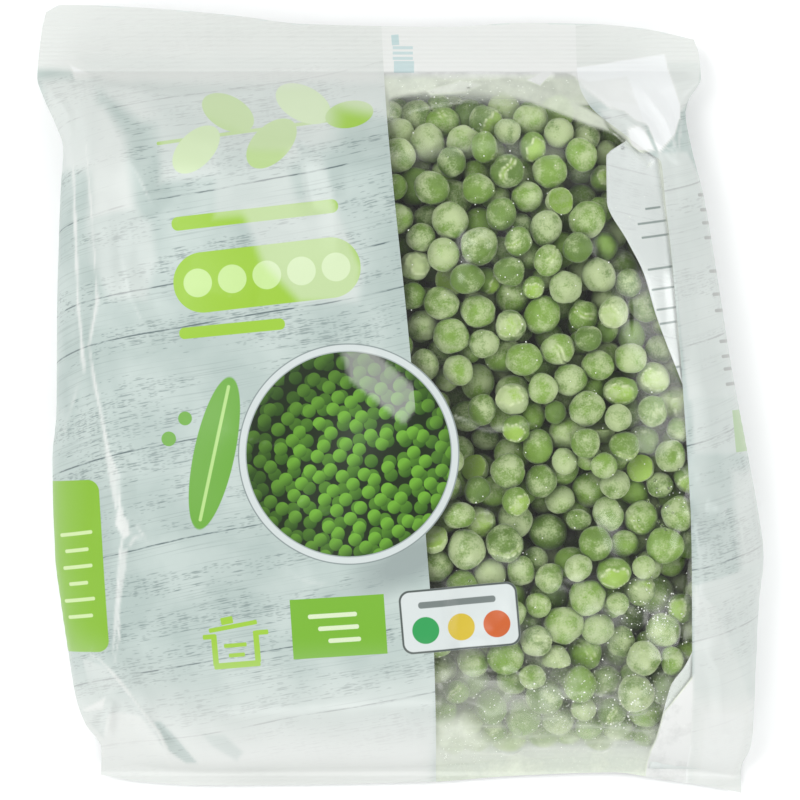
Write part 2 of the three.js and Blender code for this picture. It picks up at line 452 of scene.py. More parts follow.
@dataclass
class PeaHeap:
    """The loose peas behind the window, packed between the two films.

    Attributes:
        form: The bag that holds them.
        mean_radius: Of a fine-grade pea.
        spread: Of the radii.
        smallest: The smallest radius, with largest.
        fill: Share of the space that the peas take.
        margin: How far the heap runs on under the print beside the window.
        clearance: Between a pea and the film.
        hollow: Depth of the hollows in the heap's face.
        hollow_lengths: Lengths of the waves that place them.
        edge_hollow: How much deeper the peas lie beside the window's left edge, over edge_reach.
        bottom: Where the heap ends, with top.
        squeeze: How far a pea may be too large for its place, and foot_squeeze below foot.
        rounds: How often the peas are pushed apart.
        sown_x: Between which x the peas are dropped.
        sowing: Spacing of the squares in which they are dropped.
        cell: Spacing of the grid of roof and bed.
        half_across: How far that grid reaches from the middle, with half_up.
        seed: Of the random draws.
        centres: The middle of each pea.
        radii: The radius of each pea.
        roof: How high the middle of a mean pea can lie, on the grid.
        bed: How low it can lie.
    """

    form: BagForm
    mean_radius: float = 4.05
    spread: float = 0.48
    smallest: float = 3.0
    largest: float = 4.9
    fill: float = 0.6
    margin: float = 9.0
    clearance: float = 0.45
    hollow: float = 4.5
    hollow_lengths: tuple[float, ...] = (46, 38, 31, 27, 24, 21)
    edge_hollow: float = 5.0
    edge_reach: float = 14.0
    bottom: float = -93.5
    top: float = 82.0
    squeeze: float = 0.9
    foot_squeeze: float = 2.4
    foot: float = -80.0
    rounds: int = 260
    sown_x: tuple[float, float] = (-20.0, 92.0)
    sowing: float = 4.0
    cell: float = 1.0
    half_across: float = 96.0
    half_up: float = 100.0
    seed: int = 11
    centres: Array = field(init=False)
    radii: Array = field(init=False)
    roof: Array = field(init=False)
    bed: Array = field(init=False)

    def limits(self, y: Array) -> tuple[Array, Array]:
        """Works out the leftmost and the rightmost x that the peas reach at each y."""
        left = self.form.window_left.at(y) - self.margin
        right = np.minimum(self.form.window_right.at(y), self.form.tuck_edge.at(y)) + self.margin
        return left, np.minimum(right, self.form.right_side.at(y) - 3)

    def slack(self, x: Array, y: Array) -> Array:
        """Works out the hollows in the heap's face, where the film bridges from one rise to the next.

        Args:
            x: Places across the bag.
            y: Places along the bag.

        Returns:
            The depth at each place.
        """
        rng = np.random.default_rng(self.seed + 1)
        wave = np.zeros(x.shape)
        for length in self.hollow_lengths:
            turn = rng.uniform(0, math.pi)
            way = (x * math.cos(turn) + y * math.sin(turn)) / length
            wave += np.sin(2 * math.pi * way + rng.uniform(0, 6.3))
        wave -= 3 * (2 - smooth((y + 92) / 12) - smooth((self.top - y) / 10))
        beside = smooth(1 - (x - self.form.window_left.at(y)) / self.edge_reach) * smooth((y + 30) / 20)
        return self.hollow * smooth(0.35 + wave / 4.5) * (1 - beside) + self.edge_hollow * beside

    def offset(self) -> None:
        """Finds how high and how low the middle of a mean pea can lie between the films."""
        y, x = np.mgrid[-self.half_up:self.half_up:self.cell, -self.half_across:self.half_across:self.cell]
        front = self.form.front(x, y) - self.form.tucked(x, y) - self.clearance - self.slack(x, y)
        back = self.form.back(x, y) + self.clearance
        self.roof, self.bed = front - self.mean_radius, back + self.mean_radius
        reach = int(self.mean_radius / self.cell)
        for down in range(-reach, reach + 1):
            for over in range(-reach, reach + 1):
                inside = self.mean_radius ** 2 - (down ** 2 + over ** 2) * self.cell ** 2
                if inside > 0:
                    shift = (down, over)
                    self.roof = np.minimum(self.roof, np.roll(front, shift, (0, 1)) - math.sqrt(inside))
                    self.bed = np.maximum(self.bed, np.roll(back, shift, (0, 1)) + math.sqrt(inside))

    def pack(self) -> None:
        """Drops the peas at random and pushes them apart until they lie beside each other."""
        self.offset()
        rng = np.random.default_rng(self.seed)
        y, x = np.mgrid[self.bottom:self.top:self.sowing, self.sown_x[0]:self.sown_x[1]:self.sowing]
        left, right = self.limits(y)
        inside = (x > left) & (x < right)
        depth = np.clip(self.form.front(x, y) - self.form.back(x, y) - 1, 0, None) * inside
        volume = depth.sum() * self.sowing ** 2
        count = int(volume * self.fill / (4 / 3 * math.pi * self.mean_radius ** 3))
        spots = rng.choice(depth.size, count, p=(depth / depth.sum()).ravel())
        px = x.ravel()[spots] + rng.uniform(0, self.sowing, count)
        py = y.ravel()[spots] + rng.uniform(0, self.sowing, count)
        pz = self.form.back(px, py) + rng.uniform(0, 1, count) * depth.ravel()[spots]
        self.radii = np.clip(rng.normal(self.mean_radius, self.spread, count), self.smallest, self.largest)
        self.centres = np.stack([px, py, pz], 1)
        for step in range(self.rounds):
            if step % 8 == 0:
                first, second = self.neighbours()
            self.part(first, second)
            self.hold()
        room = self.room() > -np.where(self.centres[:, 1] < self.foot, self.foot_squeeze, self.squeeze)
        self.centres, self.radii = self.centres[room], self.radii[room]
        log.info("packed %d peas", len(self.radii))

    def neighbours(self) -> tuple[Array, Array]:
        """Finds pairs of peas that lie close enough to meet in the next few rounds.

        Returns:
            The first and the second pea of each pair.
        """
        c = self.centres.astype(np.float32)
        square = (c ** 2).sum(1)
        gaps = square[:, None] + square[None, :] - 2 * c @ c.T
        reach = 2 * self.largest + 1.5
        first, second = np.nonzero(gaps < reach ** 2)
        apart = first < second
        return first[apart], second[apart]

    def part(self, first: Array, second: Array) -> None:
        """Moves each overlapping pair apart by most of its overlap.

        Args:
            first: The first pea of each pair.
            second: The second pea of each pair.
        """
        gap = self.centres[second] - self.centres[first]
        distance = np.maximum(np.linalg.norm(gap, axis=1), 1e-6)
        overlap = np.maximum(self.radii[first] + self.radii[second] - distance, 0)
        push = gap / distance[:, None] * (overlap * 0.4)[:, None]
        for axis in range(3):
            moved = np.bincount(second, push[:, axis], len(self.radii))
            moved -= np.bincount(first, push[:, axis], len(self.radii))
            self.centres[:, axis] += moved

    def hold(self) -> None:
        """Keeps the peas inside the films and the heap's edges."""
        x, y, z = self.centres.T
        y = np.clip(y, self.bottom + self.radii, self.top - self.radii)
        left, right = self.limits(y)
        x = np.clip(x, left + self.radii, right - self.radii)
        top, low = self.between(x, y)
        z = np.maximum(np.minimum(z, top), low)
        self.centres = np.stack([x, y, z], 1)

    def between(self, x: Array, y: Array) -> tuple[Array, Array]:
        """Works out how high and how low each pea's middle can lie.

        Args:
            x: The peas' places across the bag.
            y: Their places along it.

        Returns:
            The highest and the lowest that it can lie.
        """
        row = ((y + self.half_up) / self.cell).round().astype(int)
        col = ((x + self.half_across) / self.cell).round().astype(int)
        top = self.roof[row, col] + self.mean_radius - self.radii
        return top, self.bed[row, col] - self.mean_radius + self.radii

    def room(self) -> Array:
        """How far each pea can move between the films, negative where it doesn't fit."""
        top, low = self.between(self.centres[:, 0], self.centres[:, 1])
        return top - low

    def depth(self) -> Array:
        """How far each pea's middle lies under the front film."""
        return self.form.front(self.centres[:, 0], self.centres[:, 1]) - self.centres[:, 2]


class PeaKind(Enum):
    """What a pea looks like."""

    FROSTED = "frosted_peas"
    GREEN = "green_peas"
    CRACKED = "cracked_peas"
    TORN = "torn_skin_peas"
    HALF = "half_peas"
    SKIN = "loose_skins"
    UNDER = "under_peas"
    DEEP = "deep_peas"


@dataclass
class Peas:
    """The peas' own shapes, made as one joined mesh for each kind.

    Attributes:
        heap: Where the peas lie and how large they are.
        fine: Subdivision of a pea that shows.
        middling: Subdivision of one in the second layer.
        coarse: Subdivision of one further down.
        top_layer: How deep the peas lie that show, and second_layer those under them.
        oversize: A lumpy pea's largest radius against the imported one, so that neighbours touch.
        grit: Roughness of the skin.
        film: How far the peas stay above the back film.
        hollow_share: Share of the top layer that is left out, in hollows of about hollow_size.
        shares: The upper end of each kind's share of the peas that show.
        cuts: For a halved pea and a loose skin: how far from the middle it is cut, how far what is beyond
            the cut is pressed in, and how sharply the flesh begins.
        frosting: The mean and the spread of each kind's frost, and bare_frosting for the other kinds.
        seed: Of the random draws.
        kinds: Which peas are of each kind.
    """

    heap: PeaHeap
    fine: int = 4
    middling: int = 3
    coarse: int = 2
    top_layer: float = 12.5
    second_layer: float = 20.0
    oversize: float = 1.08
    grit: float = 0.007
    film: float = 0.4
    hollow_share: float = 0.09
    hollow_size: float = 17.0
    shares: tuple[tuple[PeaKind, float], ...] = (
        (PeaKind.CRACKED, 0.14), (PeaKind.TORN, 0.25), (PeaKind.HALF, 0.28), (PeaKind.SKIN, 0.30),
        (PeaKind.GREEN, 0.52), (PeaKind.FROSTED, 1.01),
    )
    cuts: tuple[tuple[PeaKind, float, float, float], ...] = (
        (PeaKind.HALF, 0.08, 0.94, 8), (PeaKind.SKIN, 0.15, 1.9, 6),
    )
    frosting: tuple[tuple[PeaKind, float, float], ...] = (
        (PeaKind.FROSTED, 0.60, 0.13), (PeaKind.GREEN, 0.36, 0.10),
    )
    bare_frosting: tuple[float, float] = (0.45, 0.15)
    seed: int = 23
    kinds: dict[PeaKind, Array] = field(init=False, default_factory=dict)

    def sort(self) -> None:
        """Leaves hollows in the top layer and shares the peas out among the kinds."""
        rng = np.random.default_rng(self.seed)
        x, y, _ = self.heap.centres.T
        depth = self.heap.depth()
        wave = (np.sin(x / self.hollow_size * 2.1 + 0.7) * np.sin(y / self.hollow_size * 1.7 + 1.9)
                + np.sin((x + y) / self.hollow_size * 1.3 + 0.4) + rng.normal(0, 0.7, len(x)))
        limit = np.quantile(wave, 1 - self.hollow_share)
        kept = ~((depth < self.top_layer * 0.8) & (wave > limit) & (y > self.heap.bottom + 25))
        shows = kept & (depth < self.top_layer)
        left, right = self.heap.form.window_left.at(y), self.heap.form.window_right.at(y)
        shows &= (x > left - 4) & (x < right + 4)
        draw = rng.uniform(0, 1, len(x))
        low = 0.0
        for kind, high in self.shares:
            self.kinds[kind] = np.nonzero(shows & (draw >= low) & (draw < high))[0]
            low = high
        second = kept & ~shows & (depth < self.second_layer)
        self.kinds[PeaKind.UNDER] = np.nonzero(second)[0]
        self.kinds[PeaKind.DEEP] = np.nonzero(kept & ~shows & ~second)[0]

    @staticmethod
    def ball(subdivisions: int) -> tuple[Array, Array]:
        """A ball of radius 1 in even triangles.

        Args:
            subdivisions: How fine it is.

        Returns:
            Its points and its faces.
        """
        shape = bmesh.new()
        bmesh.ops.create_icosphere(shape, subdivisions=subdivisions, radius=1.0)
        points = np.array([v.co[:] for v in shape.verts])
        faces = np.array([[v.index for v in f.verts] for f in shape.faces])
        shape.free()
        return points, faces

    @staticmethod
    def unit(vectors: Array) -> Array:
        """Scales vectors to a length of 1."""
        return vectors / np.linalg.norm(vectors, axis=-1, keepdims=True)

    def lumps(self, ball: Array, count: int, rng: np.random.Generator) -> Array:
        """Uneven skin: a few broad lumps and fine puckers.

        Args:
            ball: Directions on the ball.
            count: How many peas.
            rng: The draw.

        Returns:
            The share by which each point of each pea is lifted.
        """
        lifted = np.zeros((count, len(ball)))
        for waves, rate, height in ((4, 2.0, 0.036), (5, 4.5, 0.014), (6, 9.0, 0.006)):
            for _ in range(waves):
                way = self.unit(rng.normal(size=(count, 3))) * rate * rng.uniform(0.7, 1.3, (count, 1))
                lifted += height * np.sin(way @ ball.T + rng.uniform(0, 6.3, (count, 1)))
        return lifted

    def build(self, kind: PeaKind) -> Piece | None:
        """Makes every pea of one kind as one mesh.

        Args:
            kind: The kind.

        Returns:
            The piece, or nothing where there is no such pea.
        """
        which = self.kinds[kind]
        if not len(which):
            return None
        rng = np.random.default_rng([self.seed, list(PeaKind).index(kind)])
        detail = {PeaKind.UNDER: self.middling, PeaKind.DEEP: self.coarse}.get(kind, self.fine)
        ball, faces = self.ball(detail)
        count = len(which)
        radius = 1 + self.lumps(ball, count, rng)
        facing = self.unit(rng.normal(size=(count, 3)) * 0.55 + np.array([0, 0, 1]))
        cross = self.unit(np.cross(facing, rng.normal(size=(count, 3))))
        inner = np.zeros((count, len(ball)))
        toward = facing @ ball.T
        sideways = cross @ ball.T
        endways = np.cross(facing, cross) @ ball.T
        angle = np.arccos(np.clip(toward, -1, 1))
        rim = np.zeros((count, len(ball)))
        dents = rng.uniform(0, 1, (2, count, 1))
        radius -= 0.09 * dents[0] * smooth(1 - np.arccos(np.clip(sideways, -1, 1)) / 0.7)
        radius -= 0.09 * dents[1] ** 2 * smooth(1 - angle / 0.4)
        if detail == self.fine:
            radius += self.grit * rng.normal(size=radius.shape)
        # A crack opens the skin from side to side, and its lips stand up
        if kind is PeaKind.CRACKED:
            drift = 0.10 * np.sin(4 * endways + rng.uniform(0, 6.3, (count, 1)))
            gap = np.abs(sideways + drift)
            reach = smooth((toward - 0.1) * 3) * smooth((0.86 - np.abs(endways)) * 5)
            inner = np.exp(-(gap / 0.07) ** 2) * reach
            radius -= 0.15 * inner
            rim = np.exp(-((gap - 0.14) / 0.045) ** 2) * reach
            radius += 0.045 * rim
        # Where the skin is torn off, the flesh shows inside a raised edge
        if kind is PeaKind.TORN:
            bearing = np.arctan2(endways, sideways)
            edge = 0.75 + 0.16 * np.sin(2 * bearing + rng.uniform(0, 6.3, (count, 1)))
            edge += 0.07 * np.sin(5 * bearing + rng.uniform(0, 6.3, (count, 1)))
            inner = smooth((edge - angle) / 0.07)
            radius -= 0.055 * inner
            rim = np.exp(-((angle - edge - 0.03) / 0.045) ** 2)
            radius += 0.05 * rim
        points = ball[None] * radius[:, :, None]
        # A halved pea is pressed flat beyond its cut, and a loose skin is pressed in
        for cut_kind, cut, press, sharpness in self.cuts:
            if kind is cut_kind:
                over = np.maximum((points * facing[:, None]).sum(2) - cut, 0)
                points = points - over[:, :, None] * facing[:, None] * press
                inner = smooth(over * sharpness)
                rim = smooth(1 - abs(over - 0.03) / 0.05)
        points = points * (1 + rng.normal(0, 0.05, (count, 1, 3)))
        points *= self.oversize / np.linalg.norm(points, axis=2).max(1)[:, None, None]
        points = points * self.heap.radii[which][:, None, None] + self.heap.centres[which][:, None]
        resting = self.heap.form.back(points[:, :, 0], points[:, :, 1]) + self.film
        points[:, :, 2] = np.maximum(points[:, :, 2], resting)
        offsets = (np.arange(count) * len(ball))[:, None, None]
        piece = mesh_piece(kind.value, points.reshape(-1, 3), (faces[None] + offsets).reshape(-1, 3))
        skin = ball[None] * self.heap.radii[which][:, None, None] + rng.uniform(-90, 90, (count, 1, 3))
        mark(piece, "skin_mm", skin.reshape(-1, 3))
        mark(piece, "tone", np.repeat(rng.uniform(0, 1, count), len(ball)))
        mark(piece, "inner", inner.ravel())
        mark(piece, "rim", rim.ravel())
        cold = {frosted: (mean, spread) for frosted, mean, spread in self.frosting}
        frost = rng.normal(*cold.get(kind, self.bare_frosting), count)
        mark(piece, "frost", np.repeat(np.clip(frost, 0, 1), len(ball)))
        return piece


@dataclass
class Pouch:
    """The film: the printed front with its clear window, the back, and the tuck at the right side.

    Attributes:
        form: The bag's main form.
        heap: The peas that the film lies on.
        columns: Faces across the left panel, the window and the right panel.
        rows: Faces up the bottom seal, the pouch and the top seal.
        raster: Spacing of the height field from which the film takes its relief.
        reach: How far that field reaches from the middle, across and up.
        back_stride: The back takes every so many of the front's grid lines.
        crowding: How far the columns crowd towards the sides.
        cling_ball: Radius of the ball that seems to roll under the clinging film, felt over cling_span.
        swollen: The peas' radii are taken so much larger, as the film rides on their lumps.
        rib_pitch: Spacing of the ribs pressed into the seals, rib_height high.
        facets: How many slight creases part the slack film.
        threads: How many fine creases run from pea to pea.
        whitens_at: The bend at which film turns pale, in one over millimetres: stress whitening and a painted
            highlight.
        looseness: Height of the slack waves against their length.
        seal_pale: How pale the top seal is.
        foot_painted_reflection: Painted reflection on the printed film at its bottom end, up to foot_reach,
            and faded over foot_fade.
        tuck_ends: Where the tuck begins and ends along the bag.
        tuck_grid: Points along the tuck and across it.
        seed: Of the random draws.
        folds: The larger folds.
        patches: The pale facets, each over those before it: painted reflections and crease highlights, and
            frost over the window.
        x: Of the front's grid, with y and z.
        height: The front film's height field.
        crest: How pale its creases are, on the same field: stress whitening and painted highlights.
        grain: The place of each grid point along the film.
    """

    form: BagForm
    heap: PeaHeap
    columns: tuple[int, int, int] = (150, 150, 66)
    rows: tuple[int, int, int] = (12, 300, 60)
    raster: float = 0.5
    reach: tuple[float, float] = (96.0, 104.0)
    back_stride: int = 3
    crowding: float = 0.85
    cling_ball: float = 12.0
    cling_span: float = 7.0
    swollen: float = 1.09
    rib_pitch: float = 1.1
    rib_height: float = 0.07
    facets: int = 16
    threads: int = 70
    whitens_at: float = 0.5
    looseness: float = 0.006
    seal_pale: float = 0.85
    foot_painted_reflection: float = 0.88
    foot_reach: float = 40.0
    foot_fade: float = 36.0
    tuck_ends: tuple[float, float] = (-93.0, 81.5)
    tuck_grid: tuple[int, int] = (150, 24)
    seed: int = 5
    folds: tuple[Fold, ...] = tuple(Fold(*row) for row in (
        # The left side: two long creases beside each other, the right one running on down the bag
        (((-82.3, 69.6), (-80.9, 57.6), (-80.1, 39.2), (-79.4, 24.5), (-78.4, 14.7), (-77.7, 6.1)), 0.9, 4,
         3, 0.4, 0.9),
        (((-79.4, 78.4), (-77.7, 63.7), (-76.2, 50.2), (-75.2, 36.8), (-74.2, 24.5), (-76.4, 13.5),
          (-74.7, 3.2), (-72.3, -8.1), (-71.5, -13), (-69, -18.6), (-68.6, -25.5), (-67.4, -31.9),
          (-68.6, -38.2), (-69.1, -49), (-69.1, -58.6), (-70.6, -66.6)), 1.5, 5, 7, 0.4, 0.8),
        (((-64.5, -30.5), (-62.8, -33), (-65, -33.6), (-66.3, -36)), 0.6, 2, 3, 0.5, 0.5),
        (((-78.5, 6.5), (-80.5, 0), (-83.5, -8)), 1, 2, 2.5, 0.7),
        # The top left corner, from which creases run down across the print
        (((-83.3, 83.8), (-76.4, 80), (-79.4, 76)), 1.4, 2.5, 3, 0.6),
        (((-88.2, 78.4), (-84.3, 74), (-82.3, 70.6), (-82, 64)), 1, 2, 2.5, 0.7),
        (((-76.4, 80), (-70, 66), (-64, 55), (-59.8, 45.8)), 2, 6, 13, 0.6),
        (((-76, 80), (-64, 76.5), (-50, 75), (-34, 77)), 1.1, 3, 8, 0.6),
        (((-25.2, 62.5), (-23, 55), (-21.3, 45)), -1, 5, 4, 0.9),
        (((-18.1, 59), (-16, 48), (-14.7, 34)), 0.5, 4, 5, 0.8),
        (((-70, 40), (-66, 26), (-60, 12)), 0.9, 5, 9, 0.7),
        # The bottom left corner: the long diagonal with a dent beside it, and a small tuck
        (((-76.9, -62.5), (-73.7, -64.4), (-70.6, -67.9), (-67.4, -71.5), (-62.7, -78.2), (-59.8, -82.8),
          (-55.9, -93.8)), 2.4, 4, 5, 0.8, 1.2),
        (((-62.3, -77.5), (-57, -83.5), (-50, -90.5)), -2.2, 2.5, 4, 0.7),
        (((-49, -80.5), (-43, -84.5), (-37, -88)), -1, 4, 5, 0.6),
        (((-79.4, -76.2), (-73, -75.5), (-70.3, -73.3), (-66.9, -74.5)), 1.8, 2.5, 3, 0.7),
        (((-71, -74.5), (-72.3, -79), (-73.3, -84)), 1.6, 2.5, 2.5, 0.8),
        (((-30, -80), (-14, -84), (4, -86)), 0.8, 6, 7, 0.4),
        (((-34, -38), (-24, -44), (-14, -46)), 0.6, 4, 6, 0.8),
        # Over the top of the window and into the top right corner
        (((-4, 76), (14, 79), (30, 78), (44, 72), (54, 65), (62, 58)), 1.6, 4, 7, 0.7),
        (((2, 71), (16, 74), (28, 73)), 1, 2, 4, 0.8),
        (((38, 84), (46, 78), (56, 70), (65, 63), (68, 62)), 2.4, 4, 5, 0.8),
        (((52, 84), (60, 78), (66, 70), (69, 62), (71, 74)), 2.2, 3.5, 3.5, 0.8),
        (((64, 62), (66, 52), (67, 40), (68.5, 24), (69, 8)), 1.2, 3, 3.5, 0.7),
        # Small ones over the peas, and the broad facets of the right panel's foot
        (((13, -4), (22, -7), (32, -6)), 0.5, 1.6, 1.6, 0.8),
        (((4, -64), (10, -69), (20, -73)), 0.7, 3, 2, 0.8),
        (((72.5, -46), (77, -51), (80.5, -62)), 1.4, 4, 6, 0.6),
        (((74, -60), (79, -68), (81, -84)), 1.2, 5, 4, 0.5),
        (((72, -86), (80, -92), (85, -97)), 1, 3, 3, 0.6),
        (((72, 36), (74, 12), (78, -14)), 0.9, 4, 5, 0.6),
    ))
    # Painted reflections and highlights, laid as pale facets; over the window they stand for frost as well
    patches: tuple[PaintedReflectionPatch, ...] = tuple(PaintedReflectionPatch(*row) for row in (
        # The top left corner and the band under the seal
        (((-77.5, 84), (-2.5, 83.7), (-2.5, 70.6), (-19.6, 69), (-41.7, 72.7), (-73.2, 68.8)), 0.5, 9),
        (((-85, 84), (-2.5, 84.2), (-2.5, 77.4), (-41.9, 77.9), (-74.3, 79.3)), 0.85, 5),
        (((-24.7, 78.9), (-2.5, 78.9), (-2.4, 69.5), (-13.5, 72.1)), 0.5, 5),
        (((-75.1, 79.3), (-61.6, 77.9), (-50.1, 72.7), (-51.9, 69.5), (-63.8, 68.7), (-73.2, 75.5)), 0.6, 4),
        (((-77, 73), (-73.2, 73.2), (-67.5, 64.5), (-64.6, 46.2), (-76.2, 43.7)), 0.65, 4),
        (((-83.1, 84.4), (-75.9, 81.1), (-78, 80), (-81.2, 79.7)), 0.95, 0.8),
        (((-90.5, 80.5), (-75.4, 80.8), (-74.3, 64.4), (-75.4, 56.5), (-84.5, 57), (-88, 70)), 0.6, 4),
        # Broad painted reflections across the print
        (((-77, 44.2), (-64.6, 46.2), (-60.7, 43.1), (-59.7, 33.7), (-62.2, 24.5), (-71.1, 24.7),
          (-75.9, 34.2)), 0.35, 3),
        (((-64.1, 78.9), (-16.3, 78.9), (-16.1, 63.6), (-26.9, 57.5), (-56.2, 57.5)), 0.45, 7),
        (((-58.9, 72.7), (-49, 70.6), (-39.1, 66), (-33.7, 56.2), (-58.7, 53.3)), 0.4, 3),
        (((-45.2, 61.6), (-28.4, 61.1), (-24.4, 46), (-45.2, 44.5)), 0.3, 3),
        (((-25.4, 63.6), (-19.1, 59.7), (-15.6, 47.7), (-13.4, 35.2), (-17.6, 34.7), (-23, 47.7)), 0.22, 1.5),
        (((-39.1, 47.9), (-17.1, 49.4), (-9.3, 32.3), (-10.3, 24), (-24.4, 24), (-33.7, 33.7)), 0.4, 3),
        (((-14.2, 11.7), (-6.8, 12.2), (5.9, 1), (1, -5.9), (-12.2, 4.9)), 0.3, 1.2),
        # The painted highlight strip down the left side
        (((-72.3, -12.9), (-70.9, -13.6), (-69.2, -20.5), (-69, -26.6), (-69.7, -26.6), (-71.1, -19.8)), 0.6,
         0.6),
        (((-69.3, -26.6), (-66.7, -29.3), (-65.9, -32.9), (-67.6, -34), (-69.6, -30.6)), 0.75, 0.6),
        (((-68.6, -36.7), (-66.3, -36.4), (-67.1, -41.3), (-67.6, -47.8), (-69.3, -57.2), (-70.8, -63),
          (-70.1, -52.6)), 0.55, 0.6),
        # The bottom left corner
        (((-78.8, -63.9), (-73, -65.8), (-68.8, -71), (-72.5, -73.4), (-76.4, -74.4), (-78, -67.8)), 0.45,
         0.8),
        (((-69.8, -77.5), (-64.3, -78.2), (-60.4, -84.2), (-57.2, -96.5), (-75.5, -96.5), (-74, -78.7)), 0.84,
         1),
        (((-79.5, -77.6), (-73, -73.7), (-74, -77), (-77.5, -77.7)), 0.9, 0.6),
        (((-79.6, -78.4), (-74.3, -77.5), (-71.9, -74.9), (-73.2, -80.4), (-74.3, -84.5)), 0.6, 0.8),
        (((-61.2, -79.7), (-59.2, -79.5), (-54.5, -85.3), (-50.8, -91.1), (-53.8, -91.1), (-59.5, -85.5)),
         0.15, 0.8),
        (((-48.7, -82.4), (-43.3, -82.4), (-39, -87.4), (-40.8, -90.1), (-46.6, -85.5)), 0.45, 1.5),
        # Milky film over the foot of the window
        (((8.6, -61.6), (17.1, -65.5), (39.1, -64.5), (71.7, -70.2), (72.5, -96.5), (8.8, -96.5)), 0.24, 3),
        (((8.9, -79.5), (15.3, -77.9), (21.3, -84.7), (25, -96.5), (9, -96.5)), 0.75, 5),
        (((8.9, -86.9), (72, -87.4), (72.5, -97.5), (9, -97.5)), 0.45, 8),
        # The right panel
        (((63.8, 61.3), (71.7, 61.8), (86.2, 35), (88, 0), (70.9, 0)), 0.5, 1.2),
        (((71.7, 0.5), (91, 0.5), (91.5, -13.8), (72.2, -13.6)), 0.42, 2),
        (((72.2, -13.6), (92, -13.8), (92.5, -40), (72.2, -45.7)), 0.2, 4),
        (((82.3, -17.5), (92.5, -17.5), (92.5, -60), (85, -50)), 0.55, 3),
        (((73.5, -66.3), (78.6, -66.6), (79, -98.8), (61.5, -98.8), (62.6, -87.4), (65, -76.8)), 0.98, 0.8),
        (((72.2, -45.7), (92.5, -40), (90, -75), (87, -97.5), (73, -97.5)), 0.5, 1.2),
        (((72.2, -47.5), (77.5, -50.7), (80.2, -56.8), (83.7, -64.9), (87, -75), (88.8, -81), (88, -86.2),
          (72.4, -85.5)), 0.62, 1.5),
        (((72.2, -74.2), (89.5, -75), (88, -90), (86, -98.8), (72.5, -98.8)), 0.9, 8),
        # Over the top of the window
        (((-4.2, 84.2), (52.5, 84.2), (52.1, 73.2), (-4.2, 76.3)), 0.55, 4),
        (((-4.2, 84.2), (48.3, 84.2), (48.2, 80.5), (-3.9, 79.5)), 0.85, 2.5),
        (((-4.2, 80.5), (7.4, 82.1), (10.1, 80), (8.6, 77.4), (4.4, 76.1), (-2.7, 74.7)), 0.7, 1.5),
        (((6.4, 76.8), (15.1, 79.7), (21.2, 78.9), (16.2, 76.3), (7.6, 75.5)), 0.8, 0.8),
        (((19.2, 79.2), (27.2, 80.5), (40.3, 75.5), (50.4, 69.8), (51.6, 66.5), (46.7, 67.7)), 0.6, 1.5),
        (((31.6, 80), (39.4, 83.7), (35, 78.4)), 0.95, 0.6),
        (((38, 79.7), (39.4, 83.2), (44.2, 80.8), (46.7, 73.2), (40.3, 73.2)), 0.6, 0.8),
        # The fold at the top right, doubled and painted white for its highlights: a grey facet, a bright one
        # and the corner beyond
        (((64.4, 84.7), (75.9, 84.8), (75.1, 78.3), (70.6, 72.1), (66.9, 71.9)), 0.7, 1.5),
        (((49.1, 72.1), (54.5, 72.1), (58.8, 70.1), (61.7, 67.1), (56.7, 63.6), (51.8, 67.5)), 0.6, 1.5),
        (((56.2, 67.2), (59.2, 68.2), (60.9, 66.8), (63.3, 61.8), (59.4, 61.4), (57, 63.1)), 0.98, 0.6),
        (((40.1, 82.6), (57.4, 82.6), (60.8, 70.6), (48.1, 72.9), (45.4, 77.9)), 0.93, 0.7),
        (((46.7, 74), (60.4, 73.7), (62.8, 65.7), (58.3, 69.3), (52, 71.6)), 0.96, 0.7),
        (((40.3, 82.9), (66.5, 86.9), (66.9, 84.2), (57.3, 81), (46.9, 79.5)), 1, 0.8),
        (((56.4, 82.6), (66.5, 86.3), (70.1, 73.8), (70.1, 70.1), (60.7, 69)), 1, 0.5),
        (((59.9, 72.7), (70.1, 74.5), (69.8, 70.1), (68.5, 66), (64.3, 61.1), (62.2, 66.2)), 1, 0.5),
    ))
    x: Array = field(init=False)
    y: Array = field(init=False)
    z: Array = field(init=False)
    height: Array = field(init=False)
    crest: Array = field(init=False)
    grain: Array = field(init=False)

    def stations(self, count: int, ends: float) -> Array:
        """Shares from 0 to 1 in so many steps: even where ends is 0, crowded at the start where it is 1."""
        even = np.linspace(0, 1, count + 1)
        return even * (1 - ends) + (1 - np.cos(math.pi / 2 * even)) * ends

    def lay_grid(self) -> None:
        """Lays the front's grid so that two of its lines are the window's edges."""
        lowest, highest = self.form.left_side.points[0][0], self.form.left_side.points[-1][0]
        foot = (self.form.bottom_seal_depth - 1) / (highest - lowest)
        seal = (self.form.seal_foot_y - lowest) / (highest - lowest) - 0.01
        even = [np.linspace(a, b, n, endpoint=False)
                for a, b, n in zip((0, foot, seal), (foot, seal, 1), self.rows)]
        up = np.concatenate([*even, [1.0]])
        fine = np.linspace(0, 1, 241)
        x, y = self.form.plan(fine[None, :], up[:, None])
        across = np.empty((len(up), sum(self.columns) + 1))
        for row, (row_x, row_y) in enumerate(zip(x, y)):
            start = np.interp(0, row_x - self.form.window_left.at(row_y), fine)
            end = np.interp(0, row_x - self.form.window_right.at(row_y), fine)
            left = start * self.stations(self.columns[0], self.crowding)[:-1]
            middle = np.linspace(start, end, self.columns[1], endpoint=False)
            right = 1 - (1 - end) * self.stations(self.columns[2], self.crowding)[::-1]
            across[row] = np.concatenate([left, middle, right])
        self.x, self.y = self.form.plan(across, np.broadcast_to(up[:, None], across.shape))

    def draped(self, x: Array, y: Array) -> Array:
        """Height of a film drawn down over the peas, as if a ball had rolled under it.

        Args:
            x: The raster's x.
            y: The raster's y.

        Returns:
            The height at each point of the raster.
        """
